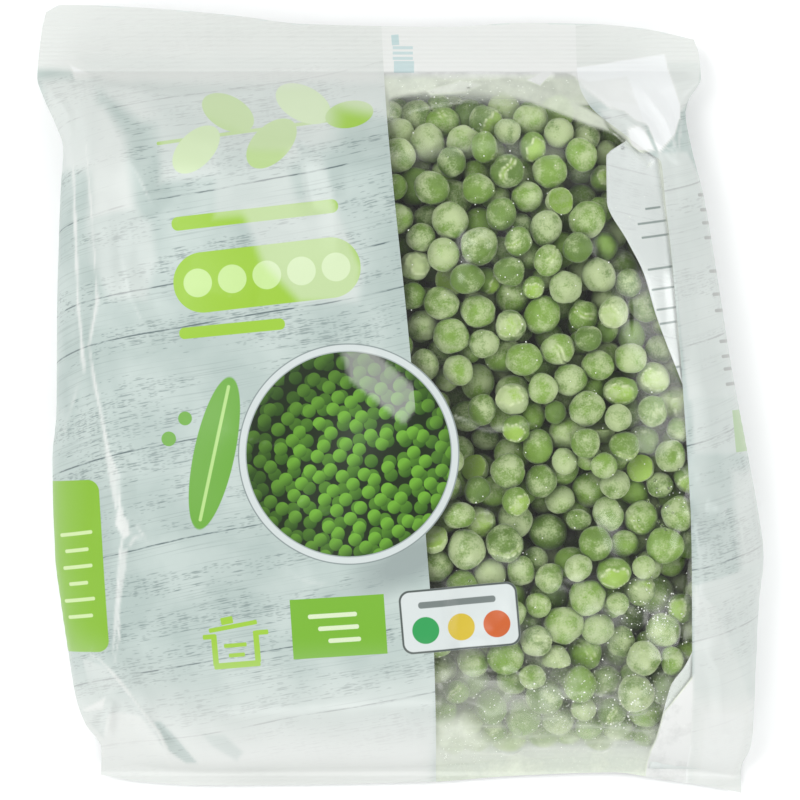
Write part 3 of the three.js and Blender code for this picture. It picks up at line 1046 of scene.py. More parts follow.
        # Where no pea holds the film up, it could lie 9 mm lower at most
        tops = self.form.front(x, y) - 9
        near = self.heap.depth() < 12
        for (cx, cy, cz), radius in zip(self.heap.centres[near], self.heap.radii[near] * self.swollen):
            col, row = (cx - x[0, 0]) / self.raster, (cy - y[0, 0]) / self.raster
            reach = int(radius / self.raster) + 1
            rows = slice(max(int(row) - reach, 0), int(row) + reach + 1)
            cols = slice(max(int(col) - reach, 0), int(col) + reach + 1)
            inside = radius ** 2 - (x[rows, cols] - cx) ** 2 - (y[rows, cols] - cy) ** 2
            cap = np.where(inside > 0, cz + np.sqrt(np.clip(inside, 0, None)), -99)
            tops[rows, cols] = np.maximum(tops[rows, cols], cap)
        steps = range(-int(self.cling_span / self.raster), int(self.cling_span / self.raster) + 1)
        for pick, sign in ((np.maximum, -1), (np.minimum, 1)):
            for axis in (0, 1):
                parts = [np.roll(tops, s, axis) + sign * (s * self.raster) ** 2 / (2 * self.cling_ball)
                         for s in steps]
                tops = pick.reduce(parts)
        return tops

    def small_folds(self, rng: np.random.Generator) -> list[Fold]:
        """Slight straight creases that part the slack film into facets.

        Args:
            rng: The draw.

        Returns:
            The creases.
        """
        creases = []
        for _ in range(self.facets):
            x, y = rng.uniform(-80, -14), rng.uniform(-80, 72)
            turn, length = rng.uniform(0, 2 * math.pi), rng.uniform(12, 34)
            bow = rng.normal(0, 2)
            middle = (x + math.cos(turn) * length / 2 - math.sin(turn) * bow,
                      y + math.sin(turn) * length / 2 + math.cos(turn) * bow)
            end = (x + math.cos(turn) * length, y + math.sin(turn) * length)
            near, far = rng.uniform(5, 10), rng.uniform(12, 24)
            creases.append(Fold(((x, y), middle, end), rng.uniform(0.2, 0.5), near, far, 0.8))
        return creases

    def thread_folds(self, rng: np.random.Generator) -> list[Fold]:
        """Fine creases of the clinging film, drawn from one pea's top to the next.

        Args:
            rng: The draw.

        Returns:
            The creases.
        """
        x, y, _ = self.heap.centres.T
        clings = (self.heap.depth() < 6.5) & (y < -10) & (y > -72) & (x > 26) & (x < 72)
        first, second = self.heap.neighbours()
        pairs = np.nonzero(clings[first] & clings[second])[0]
        chosen = rng.choice(pairs, min(self.threads, len(pairs)), replace=False)
        return [
            Fold(((x[a], y[a]), (x[b], y[b])), rng.uniform(0.2, 0.45), 0.9, 0.9, 0.9)
            for a, b in zip(first[chosen], second[chosen])
        ]

    def relief(self) -> None:
        """Works out the front film's height at each point of its grid: form, folds, slack and cling."""
        rng = np.random.default_rng(self.seed)
        y, x = np.mgrid[-self.reach[1]:self.reach[1]:self.raster, -self.reach[0]:self.reach[0]:self.raster]
        height = self.form.front(x, y)
        full = self.form.fullness(x, y)
        # Long slack waves
        loose = np.zeros(x.shape)
        for _ in range(9):
            turn = rng.uniform(0, math.pi)
            length = rng.uniform(22, 55)
            way = x * math.cos(turn) + y * math.sin(turn)
            loose += self.looseness * length * np.sin(way / length * 2 * math.pi + rng.uniform(0, 6.3))
        held = smooth(full * 3)
        # Folds, and the broken pale lines where they bend most sharply: stress whitening and painted
        # highlights
        folds = (*self.folds, *self.small_folds(rng))
        folded = sum(fold.lift(x, y) for fold in folds)
        bend = sum(np.roll(folded, step, axis) for step in (-1, 1) for axis in (0, 1)) - 4 * folded
        broken = 0.5 + 0.5 * np.sin(x / 5.3 + 2 * np.sin(y / 7.1)) * np.sin(y / 4.1 + 2 * np.sin(x / 6.3))
        self.crest = 0.5 * np.clip(-bend / self.raster ** 2 / self.whitens_at - 0.4, 0, 1) * broken
        for fold in folds:
            if fold.pale:
                self.crest = np.maximum(self.crest, 0.8 * fold.painted_crest_highlight(x, y))
        folded = folded + sum(fold.lift(x, y) for fold in self.thread_folds(rng))
        base = height + (loose + folded) * np.clip(held + 0.15 * (full > 0), 0, 1)
        # Over the peas the film clings to their tops, the more so towards the bottom right
        in_window = (smooth((x - self.form.window_left.at(y) - 1) / 6)
                     * smooth((self.form.tuck_edge.at(y) - x) / 5)
                     * smooth((self.form.window_right.at(y) - x + 2) / 5))
        low = 0.12 + 0.6 * smooth((-14 - y + 0.5 * (x - 40)) / 26)
        cling = in_window * low * smooth((72 - y) / 12) * smooth((y + 90) / 8)
        draped = self.draped(x, y) + 0.15
        base = base + (draped - base) * cling
        base = np.maximum(base, np.where(draped > height - 6, draped, -99))
        self.height = base
        self.z = self.read(self.height, self.x, self.y)
        # Ribs pressed into the seals, and a rim that meets the back film's
        in_seal = smooth((self.y - self.form.seal_foot_y) / 1.5)
        in_foot = smooth((self.form.bottom_end.at(self.x) + self.form.bottom_seal_depth - self.y) / 1.0)
        ribbed = np.maximum(in_seal, 0.3 * in_foot)
        self.z += self.rib_height * np.sin(self.y / self.rib_pitch * 2 * math.pi) * ribbed
        edge = self.form.seam(self.y)
        for rim in (np.s_[0], np.s_[-1], np.s_[:, 0], np.s_[:, -1]):
            self.z[rim] = edge[rim]

    def read(self, raster: Array, x: Array, y: Array) -> Array:
        """Reads a raster between its points.

        Args:
            raster: The film's height or its creases.
            x: Places across the bag.
            y: Places along it.

        Returns:
            The value at each place.
        """
        col, row = (x + self.reach[0]) / self.raster, (y + self.reach[1]) / self.raster
        c, r = col.astype(int), row.astype(int)
        u, v = col - c, row - r
        low = raster[r, c] * (1 - u) + raster[r, c + 1] * u
        high = raster[r + 1, c] * (1 - u) + raster[r + 1, c + 1] * u
        return low * (1 - v) + high * v

    def unroll(self) -> None:
        """Measures the front film along its surface, so that its print isn't stretched at the sides."""
        base = np.stack([self.x, self.y, self.form.front(self.x, self.y)], 2)
        across = np.linalg.norm(np.diff(base, axis=1), axis=2).cumsum(1)
        across = np.pad(across, ((0, 0), (1, 0)))
        fixed = self.columns[0]
        s = across - across[:, fixed:fixed + 1] + self.x[:, fixed:fixed + 1]
        self.grain = np.stack([s, self.y, np.zeros(s.shape)], 2)

    def front_piece(self, name: str, first: int, last: int) -> Piece:
        """Makes the part of the front film between two columns of the grid.

        Args:
            name: The piece's name.
            first: The first column of points.
            last: The last column of points.

        Returns:
            The piece.
        """
        part = np.s_[:, first:last + 1]
        x, y, z = self.x[part], self.y[part], self.z[part]
        points = np.stack([x, y, z], 2).reshape(-1, 3)
        piece = mesh_piece(name, points, grid_faces(*x.shape))
        mark(piece, "grain_mm", self.grain[part].reshape(-1, 3))
        mark(piece, "pale", self.paleness_and_painted_light(x, y).ravel())
        return piece

    def paleness_and_painted_light(self, x: Array, y: Array) -> Array:
        """Works out how pale the film is: doubled seals, painted reflections and painted crease highlights.

        Args:
            x: Places across the bag.
            y: Places along the bag.

        Returns:
            From 0 for none to 1 for white.
        """
        seal = self.seal_pale * smooth((y - self.form.seal_foot_y + 1) / 3)
        # A painted reflection pales the printed film towards its bottom end
        foot = self.foot_painted_reflection * smooth((self.form.bottom_end.at(x) + self.foot_reach - y) / self.foot_fade)
        foot = foot * (1 - self.in_window(x, y))
        pale = np.maximum(seal, foot)
        for patch in self.patches:
            pale = patch.over(pale, x, y)
        return np.maximum(pale, self.read(self.crest, x, y))

    def in_window(self, x: Array, y: Array) -> Array:
        """1 inside the window and 0 outside it."""
        return (smooth((x - self.form.window_left.at(y)) / 0.5 + 0.5)
                * smooth((self.form.window_right.at(y) - x) / 0.5 + 0.5))

    def back_piece(self) -> Piece:
        """Makes the back film, which shares its rim with the front.

        Returns:
            The piece.
        """
        part = np.s_[::self.back_stride, ::self.back_stride]
        x, y = self.x[part], self.y[part]
        # The lap seam down the middle is a strip 11 mm wide that stands a little out of the back
        lap = smooth((abs(x - 2) - 5.5) / 1.0)
        z = np.maximum(self.form.back(x, y), 0) + 0.35 * lap * smooth(self.form.fullness(x, y) * 4)
        for rim in (np.s_[0], np.s_[-1], np.s_[:, 0], np.s_[:, -1]):
            z[rim] = self.z[part][rim]
        points = np.stack([x, y, z], 2)
        across = np.pad(np.linalg.norm(np.diff(points, axis=1), axis=2).cumsum(1), ((0, 0), (1, 0)))
        s = self.grain[part][:, :1, 0] - across
        piece = mesh_piece("back_film", points.reshape(-1, 3), grid_faces(*x.shape)[:, ::-1])
        mark(piece, "grain_mm", np.stack([s, y, np.zeros(s.shape)], 2).reshape(-1, 3))
        return piece

    def tuck_piece(self) -> Piece:
        """Makes the side's tuck: two plies of the printed film, folded in over the edge of the peas.

        Returns:
            The piece.
        """
        rows, columns = self.tuck_grid
        y = np.linspace(*self.tuck_ends, rows)[:, None] * np.ones((1, columns))
        share = np.linspace(0, 1, columns)[None, :]
        start = self.form.tuck_edge.at(y)
        end = np.maximum(self.form.right_side.at(y) - 2.5, start + 1)
        x = start + (end - start) * share
        drop = 0.45 + 0.5 * np.sin(share * math.pi) + 0.1 * np.sin(y / 7) * share
        upper = self.read(self.height, x, y) - drop
        lower = upper - 0.2 - 1.0 * np.sin(share * math.pi)
        lower = np.maximum(lower, self.form.back(x, y) + 0.3)
        upper = np.maximum(upper, lower + 0.1)
        upper[:, 0] = lower[:, 0] + 0.02
        points = np.concatenate([np.stack([x, y, upper], 2).reshape(-1, 3),
                                 np.stack([x, y, lower], 2).reshape(-1, 3)])
        faces = grid_faces(rows, columns)
        count = rows * columns
        rim = np.concatenate([np.arange(columns - 1), np.arange(rows - 1) * columns + columns - 1,
                              count - 1 - np.arange(columns - 1), (np.arange(rows - 1, 0, -1)) * columns])
        after = np.roll(rim, -1)
        skirt = np.stack([rim + count, after + count, after, rim], 1)
        piece = mesh_piece("side_tuck", points, np.concatenate([faces, faces[:, ::-1] + count, skirt]))
        grain = np.stack([150 - x, y, np.zeros(x.shape)], 2).reshape(-1, 3)
        mark(piece, "grain_mm", np.concatenate([grain, grain]))
        return piece


@dataclass
class Beads:
    """Small things that cling under the clear film: crumbs of frost or drops of water.

    Attributes:
        name: The piece's name.
        pouch: The film.
        drifts: Each drift's middle, its reach across and up, and how many beads lie in it.
        smallest: The smallest radius.
        largest: The largest radius.
        uneven: How rough their surface is.
        bottom: The lowest place along the bag, with top.
        detail: Subdivision of a bead.
        seed: Of the random draws.
    """

    name: str
    pouch: Pouch
    drifts: tuple[tuple[float, float, float, float, int], ...]
    smallest: float
    largest: float
    uneven: float
    bottom: float = -92.0
    top: float = 81.0
    detail: int = 2
    seed: int = 31

    def build(self) -> Piece:
        """Makes the beads as one mesh.

        Returns:
            The piece.
        """
        rng = np.random.default_rng(self.seed)
        spots = np.concatenate([
            rng.normal((x, y), (wide, high), (count, 2)) for x, y, wide, high, count in self.drifts
        ])
        form = self.pouch.form
        x, y = spots.T
        inside = (x > form.window_left.at(y) + 1) & (x < form.window_right.at(y) - 1)
        inside &= (y > self.bottom) & (y < self.top)
        x, y = x[inside], y[inside]
        size = self.smallest + (self.largest - self.smallest) * rng.beta(1.2, 3.5, len(x))
        z = self.pouch.read(self.pouch.height, x, y) - size
        ball, faces = Peas.ball(self.detail)
        points = ball[None] * (1 + rng.normal(0, self.uneven, (len(x), len(ball), 1))) * size[:, None, None]
        points = points + np.stack([x, y, z], 1)[:, None]
        offsets = (np.arange(len(x)) * len(ball))[:, None, None]
        return mesh_piece(self.name, points.reshape(-1, 3), (faces[None] + offsets).reshape(-1, 3))


# Where frost and water lie, as the drifts of Beads
CRUMBS = (
    (62, -52, 5, 4, 110), (67, -24, 4, 4, 20), (48, -76, 14, 5, 200), (20, 79, 20, 2.5, 160),
    (40, -20, 16, 30, 90), (30, 40, 18, 22, 80), (14, -86, 6, 4, 150),
)
DROPS = ((64, -23, 2.5, 5, 16), (60, 62, 6, 2, 4), (12, 76, 6, 2, 8), (20, -44, 4, 4, 4))


# The commonest types of node, and settings that several nodes share
MATH = "ShaderNodeMath"
VECTOR_MATH = "ShaderNodeVectorMath"
MAP_RANGE = "ShaderNodeMapRange"
NOISE = "ShaderNodeTexNoise"
ATTRIBUTE = "ShaderNodeAttribute"
PRINCIPLED = "ShaderNodeBsdfPrincipled"
ADD = {"operation": "ADD"}
SUBTRACT = {"operation": "SUBTRACT"}
MULTIPLY = {"operation": "MULTIPLY"}
MULTIPLY_ADD = {"operation": "MULTIPLY_ADD"}
MAXIMUM = {"operation": "MAXIMUM"}
LENGTH = {"operation": "LENGTH"}
FLAT_NOISE = {"noise_dimensions": "2D"}
FLAT_CELLS = {"voronoi_dimensions": "2D"}


def add(tree: Tree, kind: str, settings: dict[str, str] | None = None, **inputs: Source) -> Node:
    """Adds one node with its settings and links.

    Args:
        tree: The material's node tree.
        kind: The node's type.
        settings: Values of the node's own properties.
        inputs: What each input socket takes: a value, another node's output, or a node for its first output.
            A name is the socket's, with _ for a space, or i0, i1 and so on for its place.

    Returns:
        The node.
    """
    made = tree.nodes.new(kind)
    for key, value in (settings or {}).items():
        setattr(made, key, value)
    for key, value in inputs.items():
        socket = made.inputs[int(key[1:]) if key[1:].isdigit() else key.replace("_", " ")]
        if isinstance(value, Node):
            value = value.outputs[0]
        if isinstance(value, Socket):
            tree.links.new(value, socket)
        else:
            socket.default_value = value
    return made


def new_material(name: str) -> tuple[Material, Tree]:
    """Starts a material with an empty tree.

    Args:
        name: The material's name.

    Returns:
        The material and its tree.
    """
    material = bpy.data.materials.new(name)
    material.use_nodes = True
    material.node_tree.nodes.clear()
    return material, material.node_tree


def plain_material(name: str, **finish: Source) -> Material:
    """Makes a material that is the same all over, from what its shader's sockets take."""
    material, tree = new_material(name)
    add(tree, "ShaderNodeOutputMaterial", Surface=add(tree, PRINCIPLED, **finish))
    return material


class Outline(Enum):
    """The outline of a printed shape."""

    BOX = "box"
    OVAL = "oval"


@dataclass(frozen=True)
class Ink:
    """One plain shape of the print, placed on the front as seen from above.

    Attributes:
        centre: Its middle.
        half: Half its width and half its height.
        colour: Its ink.
        turn: How far it is turned, in degrees anticlockwise.
        corner: Radius of a box's corners.
        outline: Box or oval.
        edge: Half the width over which its edge fades.
    """

    centre: tuple[float, float]
    half: tuple[float, float]
    colour: str
    turn: float = 5.0
    corner: float = 0.0
    outline: Outline = Outline.BOX
    edge: float = 0.07

    def mask(self, tree: Tree, place: Socket) -> Socket:
        """Adds the nodes that say where the shape is.

        Args:
            tree: The material's tree.
            place: The place on the front, in millimetres.

        Returns:
            1 inside the shape and 0 outside it.
        """
        oval = self.outline is Outline.OVAL
        scale = (*self.half, 1) if oval else (1, 1, 1)
        moved = add(tree, "ShaderNodeMapping", {"vector_type": "TEXTURE"}, Vector=place,
                    Location=(*self.centre, 0), Rotation=(0, 0, math.radians(self.turn)), Scale=scale)
        if oval:
            far = add(tree, VECTOR_MATH, LENGTH, i0=moved)
            start, limit = 1 + self.edge / min(self.half), 1 - self.edge / min(self.half)
        else:
            corner = max(self.corner, 0.02)
            size = add(tree, VECTOR_MATH, {"operation": "ABSOLUTE"}, i0=moved)
            over = add(tree, VECTOR_MATH, SUBTRACT, i0=size,
                       i1=(self.half[0] - corner, self.half[1] - corner, 0))
            held = add(tree, VECTOR_MATH, MAXIMUM, i0=over, i1=(0, 0, 0))
            far = add(tree, VECTOR_MATH, LENGTH, i0=held)
            start, limit = corner + self.edge, max(corner - self.edge, 0)
        value = far.outputs["Value"]
        found = add(tree, MAP_RANGE, Value=value, From_Min=start, From_Max=limit)
        return found.outputs[0]


def mix(tree: Tree, share: Source, first: Source, second: Source) -> Socket:
    """Mixes two colours, where share is how much of the second."""
    return add(tree, "ShaderNodeMix", {"data_type": "RGBA"}, i0=share, i6=first, i7=second).outputs[2]


# Inks that several printed shapes share
LIME = "#8CB436"
PALE_LIME = "#A9C67F"
LEAF = "#63993A"
PAPER = "#C1C8C7"
DARK = "#16240F"


@dataclass(frozen=True)
class PrintedFilm:
    """Polyethylene film, extruded clear and printed in reverse with a white-washed wood pattern.

    The ink lies under the film's outer face, so the print is flat and even, and the gloss over it is the
    film's own;
    the broad pale reflections that end at its creases are painted into its colour.

    Attributes:
        name: The material's name.
        wash: The wood's wash, mottled with wash_pale.
        pale: Doubled film at the seals and painted reflections, and white for the brightest painted
            reflections.
        stroke: The grain's dashes.
        crack: The seams between planks.
        seams: Where the planks meet, in millimetres across their grain.
        grain_turn: How far the planks are turned, in degrees.
        dashes: For each size of dash, how long and how high its cell is, and how dark it is.
        roughness: Of the film's face.
        mirrored: The grey bars on the tuck, which also fall on the back film beneath it.
        shapes: The front's print, each shape over those before it.
    """

    name: str = "printed_polyethylene_film"
    wash: str = "#A1AFAB"
    wash_pale: str = "#B0BCB8"
    pale: str = "#D3D5D2"
    white: str = "#DADDDD"
    stroke: str = "#6F7D7C"
    crack: str = "#4D5C5F"
    seams: tuple[float, ...] = (83.5, 59.2, 38.6, 27.5, -0.2, -23.3, -54.3, -72.2, -94.9)
    grain_turn: float = 10.5
    dashes: tuple[tuple[float, float, float], ...] = (
        (5.2, 0.5, 0.6), (2.6, 0.42, 0.5), (1.4, 0.36, 0.4),
    )
    roughness: float = 0.36
    mirrored: tuple[Ink, ...] = tuple(
        Ink((62.5 + 0.12 * (48 - y), y), (half, 0.28), "#87938F", 9, 0.2)
        for y, half in ((47.5, 2.0), (44.0, 4.5), (40.5, 4.0), (32.5, 3.6), (27.5, 3.2), (22.5, 2.6),
                        (19.0, 2.2), (8.0, 1.5))
    )
    shapes: tuple[Ink, ...] = (
        # The soft shadow that the bowl's picture throws on the wood
        Ink((2.4, -39.0), (13.0, 5.0), "#8B9795", 28, 0, Outline.OVAL, 2.5),
        # Sprig of leaves at the top
        Ink((-34.5, 66.5), (25.5, 0.45), LIME, 8, 0.4),
        Ink((-50, 61.5), (7.2, 4.3), PALE_LIME, 48, 0, Outline.OVAL),
        Ink((-42.5, 71), (7.2, 4.3), LIME, -32, 0, Outline.OVAL),
        Ink((-31.5, 63), (7.6, 4.6), LIME, 48, 0, Outline.OVAL),
        Ink((-24, 73.5), (7.6, 4.6), PALE_LIME, -32, 0, Outline.OVAL),
        Ink((-12.5, 70.5), (6.0, 3.6), LIME, 12, 0, Outline.OVAL),
        # Pod with round peas
        Ink((-35.5, 45.2), (20.5, 1.7), LIME, 6.5, 1.6),
        Ink((-32.5, 30.5), (23.0, 7.4), LIME, 6.5, 7.3),
        *(Ink((-49.4 + 8.45 * i, 28.6 + 0.96 * i), (3.5, 3.5), "#B2CE88", 0, 0, Outline.OVAL)
          for i in range(5)),
        Ink((-41.0, 17.4), (13.0, 1.4), LIME, 5.5, 1.3),
        # Leaf beside the bowl, with its rib, and two round peas
        Ink((-45.3, -13), (5.0, 19.0), LEAF, -12, 0, Outline.OVAL),
        Ink((-45.3, -13), (0.4, 17.0), "#A3C57A", -12, 0.4),
        Ink((-52.5, -4.5), (1.7, 1.7), LEAF, 0, 0, Outline.OVAL),
        Ink((-56.5, -9.5), (1.8, 1.8), LEAF, 0, 0, Outline.OVAL),
        # Label on the left side, with pale bars
        Ink((-82.3, -41.3), (9.6, 21.3), "#78A821", 3.4, 3.0),
        *(Ink((-80 + 0.2 * i, -33 - 4.1 * i), (4.4 - half, 0.45), "#BCD197", 8, 0.4)
          for i, half in enumerate((0, 1.2, 0.4, 1.8, 0.2, 1.0))),
        # A plain pot with its lid: walls, foot, handles, lid and knob, with two bars inside
        *(Ink(centre, half, LIME, turn, 0.3) for centre, half, turn in (
            ((-45.3, -61.3), (0.7, 3.9), 5), ((-35, -60.3), (0.7, 3.9), 5), ((-39.8, -64.8), (5.7, 0.75), 5),
            ((-46.7, -58), (1.6, 0.6), 5), ((-33.8, -56.8), (1.6, 0.6), 5), ((-40.9, -55.4), (6, 0.55), 11),
            ((-42.4, -54), (1.5, 0.9), 11), ((-40.3, -60), (2.8, 0.5), 5), ((-39.9, -62.4), (2, 0.5), 5))),
        # Plain green field with pale bars
        Ink((-15.0, -55.4), (11.5, 7.3), "#6CA12E", 3.8),
        *(Ink((-16.5 + 1.5 * i, -52.6 - 3.0 * i), (6.0 - i, 0.55), "#C3D1B0", 3.8, 0.5) for i in range(3)),
        # Lines down the right side
        *(Ink((74.5 + 0.14 * (50 - y) + half, y), (half, 0.42), "#39423F", 7, 0.3)
          for y, half in ((51.5, 3), (48, 5), (44.6, 4), (41, 5), (32.5, 4), (27, 6), (22.8, 5), (15, 4),
                          (11.5, 6), (8, 3), (4.6, 6))),
        Ink((88.5, -7.3), (5.5, 5.2), "#75A347", 4.9),
    )

    def wood(self, tree: Tree) -> Socket:
        """Adds the white-washed planks: thin dark seams, fine broken grain and a mottled wash.

        Args:
            tree: The material's tree.

        Returns:
            The pattern's colour.
        """
        along = add(tree, ATTRIBUTE, {"attribute_name": "grain_mm"})
        laid = add(tree, "ShaderNodeMapping", {"vector_type": "TEXTURE"}, Vector=along.outputs["Vector"],
                   Rotation=(0, 0, math.radians(self.grain_turn)))
        bend = add(tree, NOISE, FLAT_NOISE, Vector=laid, Scale=0.016, Detail=1.0)
        drift = add(tree, MATH, MULTIPLY_ADD, i0=bend, i1=4.0, i2=-2.0)
        sway = add(tree, "ShaderNodeCombineXYZ", Y=drift)
        bent = add(tree, VECTOR_MATH, ADD, i0=laid, i1=sway)
        mottle = add(tree, NOISE, FLAT_NOISE, Vector=bent, Scale=0.06, Detail=3.0)
        cloudy = add(tree, MAP_RANGE, Value=mottle, From_Min=0.35, From_Max=0.7)
        colour = mix(tree, cloudy, linear(self.wash), linear(self.wash_pale))
        drawn_out = add(tree, VECTOR_MATH, MULTIPLY, i0=bent, i1=(0.02, 0.13, 1))
        drifts = add(tree, NOISE, FLAT_NOISE, Vector=drawn_out, Scale=1.0, Detail=2.0)
        crowd = add(tree, MAP_RANGE, Value=drifts, From_Min=0.45, From_Max=0.66, To_Max=0.42)
        hairs = add(tree, VECTOR_MATH, MULTIPLY, i0=bent, i1=(0.03, 2.4, 1))
        hair = add(tree, NOISE, FLAT_NOISE, Vector=hairs, Scale=1.0, Detail=2.0)
        faint = add(tree, MAP_RANGE, Value=hair, From_Min=0.58, From_Max=0.7, To_Max=0.28)
        colour = mix(tree, faint, colour, linear(self.stroke))
        for width, height, strength in self.dashes:
            ink = self.dashed(tree, bent, crowd, (1 / width, 1 / height, 1), strength)
            colour = mix(tree, ink, colour, linear(self.stroke))
        split = add(tree, "ShaderNodeSeparateXYZ", i0=bent)
        gap = None
        for seam in self.seams:
            away = add(tree, MATH, SUBTRACT, i0=split.outputs[1], i1=seam)
            near = add(tree, MATH, {"operation": "ABSOLUTE"}, i0=away)
            gap = add(tree, MATH, {"operation": "MINIMUM"}, i0=gap, i1=near) if gap else near
        line = add(tree, MAP_RANGE, Value=gap, From_Min=0.26, From_Max=0.1)
        worn = add(tree, VECTOR_MATH, MULTIPLY, i0=bent, i1=(0.12, 0.9, 1))
        breaks = add(tree, NOISE, FLAT_NOISE, Vector=worn, Scale=1.0, Detail=3.0, Roughness=0.7)
        wear = add(tree, MAP_RANGE, Value=breaks, From_Min=0.4, From_Max=0.56, To_Min=0.1, To_Max=0.9)
        seam_ink = add(tree, MATH, MULTIPLY, i0=line, i1=wear)
        return mix(tree, seam_ink, colour, linear(self.crack))

    def dashed(self, tree: Tree, place: Node, crowd: Node, scale: tuple[float, float, float],
               strength: float) -> Node:
        """Adds short dashes along the grain, at most one in each cell of a stretched pattern.

        Args:
            tree: The material's tree.
            place: The place along and across the grain.
            crowd: The share of the cells that have a dash.
            scale: Cells to the millimetre, along and across.
            strength: How dark a dash is.

        Returns:
            How much ink there is.
        """
        drawn = add(tree, VECTOR_MATH, MULTIPLY, i0=place, i1=scale)
        cells = add(tree, "ShaderNodeTexVoronoi", FLAT_CELLS, Vector=drawn, Scale=1.0)
        draw = add(tree, "ShaderNodeSeparateColor", Color=cells.outputs["Color"])
        chosen = add(tree, MATH, {"operation": "LESS_THAN"}, i0=draw, i1=crowd)
        body = add(tree, MAP_RANGE, Value=cells.outputs["Distance"], From_Min=0.4, From_Max=0.2,
                   To_Max=strength)
        return add(tree, MATH, MULTIPLY, i0=chosen, i1=body)

    def place(self, tree: Tree) -> Socket:
        """Adds the place on the front as seen from above, in millimetres."""
        where = add(tree, "ShaderNodeTexCoord")
        flat = add(tree, VECTOR_MATH, MULTIPLY, i0=where.outputs["Object"], i1=(1 / MM, 1 / MM, 0))
        return flat.outputs[0]

    def bowl(self, tree: Tree, place: Socket, colour: Source) -> tuple[Socket, Socket]:
        """Adds the picture of a plain bowl of peas, seen from above.

        Args:
            tree: The material's tree.
            place: The place on the front.
            colour: What is printed under it.

        Returns:
            The colour with the bowl over it, and 1 where the bowl is.
        """
        centre = (-12.5, -13.2)
        rim = Ink(centre, (27.0, 27.0), "", 0, 0, Outline.OVAL).mask(tree, place)
        for half, ink in ((27.0, "#7C8786"), (26.7, "#BCC4C3"), (25.2, "#929C9B"), (24.9, DARK)):
            ring = Ink(centre, (half, half), "", 0, 0, Outline.OVAL).mask(tree, place)
            colour = mix(tree, ring, colour, linear(ink))
        inside = ring
        for shift, turn, left_out, dim in (((0, 0, 0), 0.0, 0.0, 0.45), ((2.3, 1.3, 0), 0.6, 0.12, 1.0)):
            moved = add(tree, "ShaderNodeMapping", Vector=place, Location=shift, Rotation=(0, 0, turn))
            cells = add(tree, "ShaderNodeTexVoronoi", FLAT_CELLS, Vector=moved, Scale=0.262, Randomness=0.5)
            draw = add(tree, "ShaderNodeSeparateColor", Color=cells.outputs["Color"])
            chosen = add(tree, MATH, {"operation": "GREATER_THAN"}, i0=draw, i1=left_out)
            body = add(tree, MAP_RANGE, Value=cells.outputs["Distance"], From_Min=0.45, From_Max=0.41)
            from_middle = add(tree, VECTOR_MATH, SUBTRACT, i0=moved, i1=cells.outputs["Position"])
            over, up = math.cos(turn), math.sin(turn)
            lit_side = (-0.5 * over - 0.6 * up, 0.6 * over - 0.5 * up, 0)
            toward = add(tree, VECTOR_MATH, {"operation": "DOT_PRODUCT"}, i0=from_middle, i1=lit_side)
            lit = add(tree, MAP_RANGE, Value=toward.outputs["Value"], From_Min=-1.6, From_Max=0.5, To_Max=dim)
            green = mix(tree, lit, linear("#1D3F12"), linear("#649B30"))
            shown = add(tree, MATH, MULTIPLY, i0=inside, i1=body)
            kept = add(tree, MATH, MULTIPLY, i0=shown, i1=chosen)
            colour = mix(tree, kept, colour, green)
        # Shade falls inside the rim at the upper left
        lit_part = Ink((-9.0, -17.0), (21.0, 21.0), "", 0, 0, Outline.OVAL, 5.0).mask(tree, place)
        shade = add(tree, MAP_RANGE, Value=lit_part, From_Min=1.0, From_Max=0.0, To_Max=0.6)
        shaded = add(tree, MATH, MULTIPLY, i0=inside, i1=shade)
        colour = mix(tree, shaded, colour, linear(DARK))
        return colour, rim

    def tag(self, tree: Tree, place: Socket, colour: Source) -> tuple[Socket, Socket]:
        """Adds a plain rounded tag with a grey bar and three dots.

        Args:
            tree: The material's tree.
            place: The place on the front.
            colour: What is printed under it.

        Returns:
            The colour with the tag over it, and 1 where the tag is.
        """
        centre = (14.6, -53.3)
        plate = Ink(centre, (14.5, 7.8), "#4C5451", 5, 2.6)
        inks = [
            plate,
            Ink(centre, (14.0, 7.3), PAPER, 5, 2.2),
            Ink((13.9, -49.4), (9.5, 0.8), "#6B7472", 5, 0.7),
            Ink((6.3, -56.3), (3.3, 3.3), "#2E8F4E", 0, 0, Outline.OVAL),
            Ink((15.0, -55.5), (3.3, 3.3), "#BFA836", 0, 0, Outline.OVAL),
            Ink((23.7, -54.7), (3.3, 3.3), "#B85A2C", 0, 0, Outline.OVAL),
        ]
        for ink in inks:
            colour = mix(tree, ink.mask(tree, place), colour, linear(ink.colour))
        return colour, plate.mask(tree, place)

    def paled_with_painted_light(self, tree: Tree, colour: Source) -> Socket:
        """Pales the print at its doubled seals, with painted reflections and painted crease highlights.

        Args:
            tree: The material's tree.
            colour: The print.

        Returns:
            The print with its pale seals and its painted light.
        """
        pale = add(tree, ATTRIBUTE, {"attribute_name": "pale"})
        colour = mix(tree, pale.outputs["Fac"], colour, linear(self.pale))
        # The brightest painted reflections go white
        painted_glare = add(tree, MAP_RANGE, Value=pale.outputs["Fac"], From_Min=0.88, From_Max=1.0)
        return mix(tree, painted_glare, colour, linear(self.white))

    def gloss(self, tree: Tree, colour: Source) -> Node:
        """Adds the film's own surface over the print."""
        return add(tree, PRINCIPLED, Base_Color=colour, Roughness=self.roughness, IOR=1.42)

    def material(self) -> Material:
        """Makes the printed film's material.

        Returns:
            The material.
        """
        material, tree = new_material(self.name)
        place = self.place(tree)
        colour = self.wood(tree)
        for ink in self.shapes:
            colour = mix(tree, ink.mask(tree, place), colour, linear(ink.colour))
        colour, _ = self.bowl(tree, place, colour)
        colour, _ = self.tag(tree, place, colour)
        colour = self.paled_with_painted_light(tree, colour)
        add(tree, "ShaderNodeOutputMaterial", Surface=self.gloss(tree, colour))
        return material

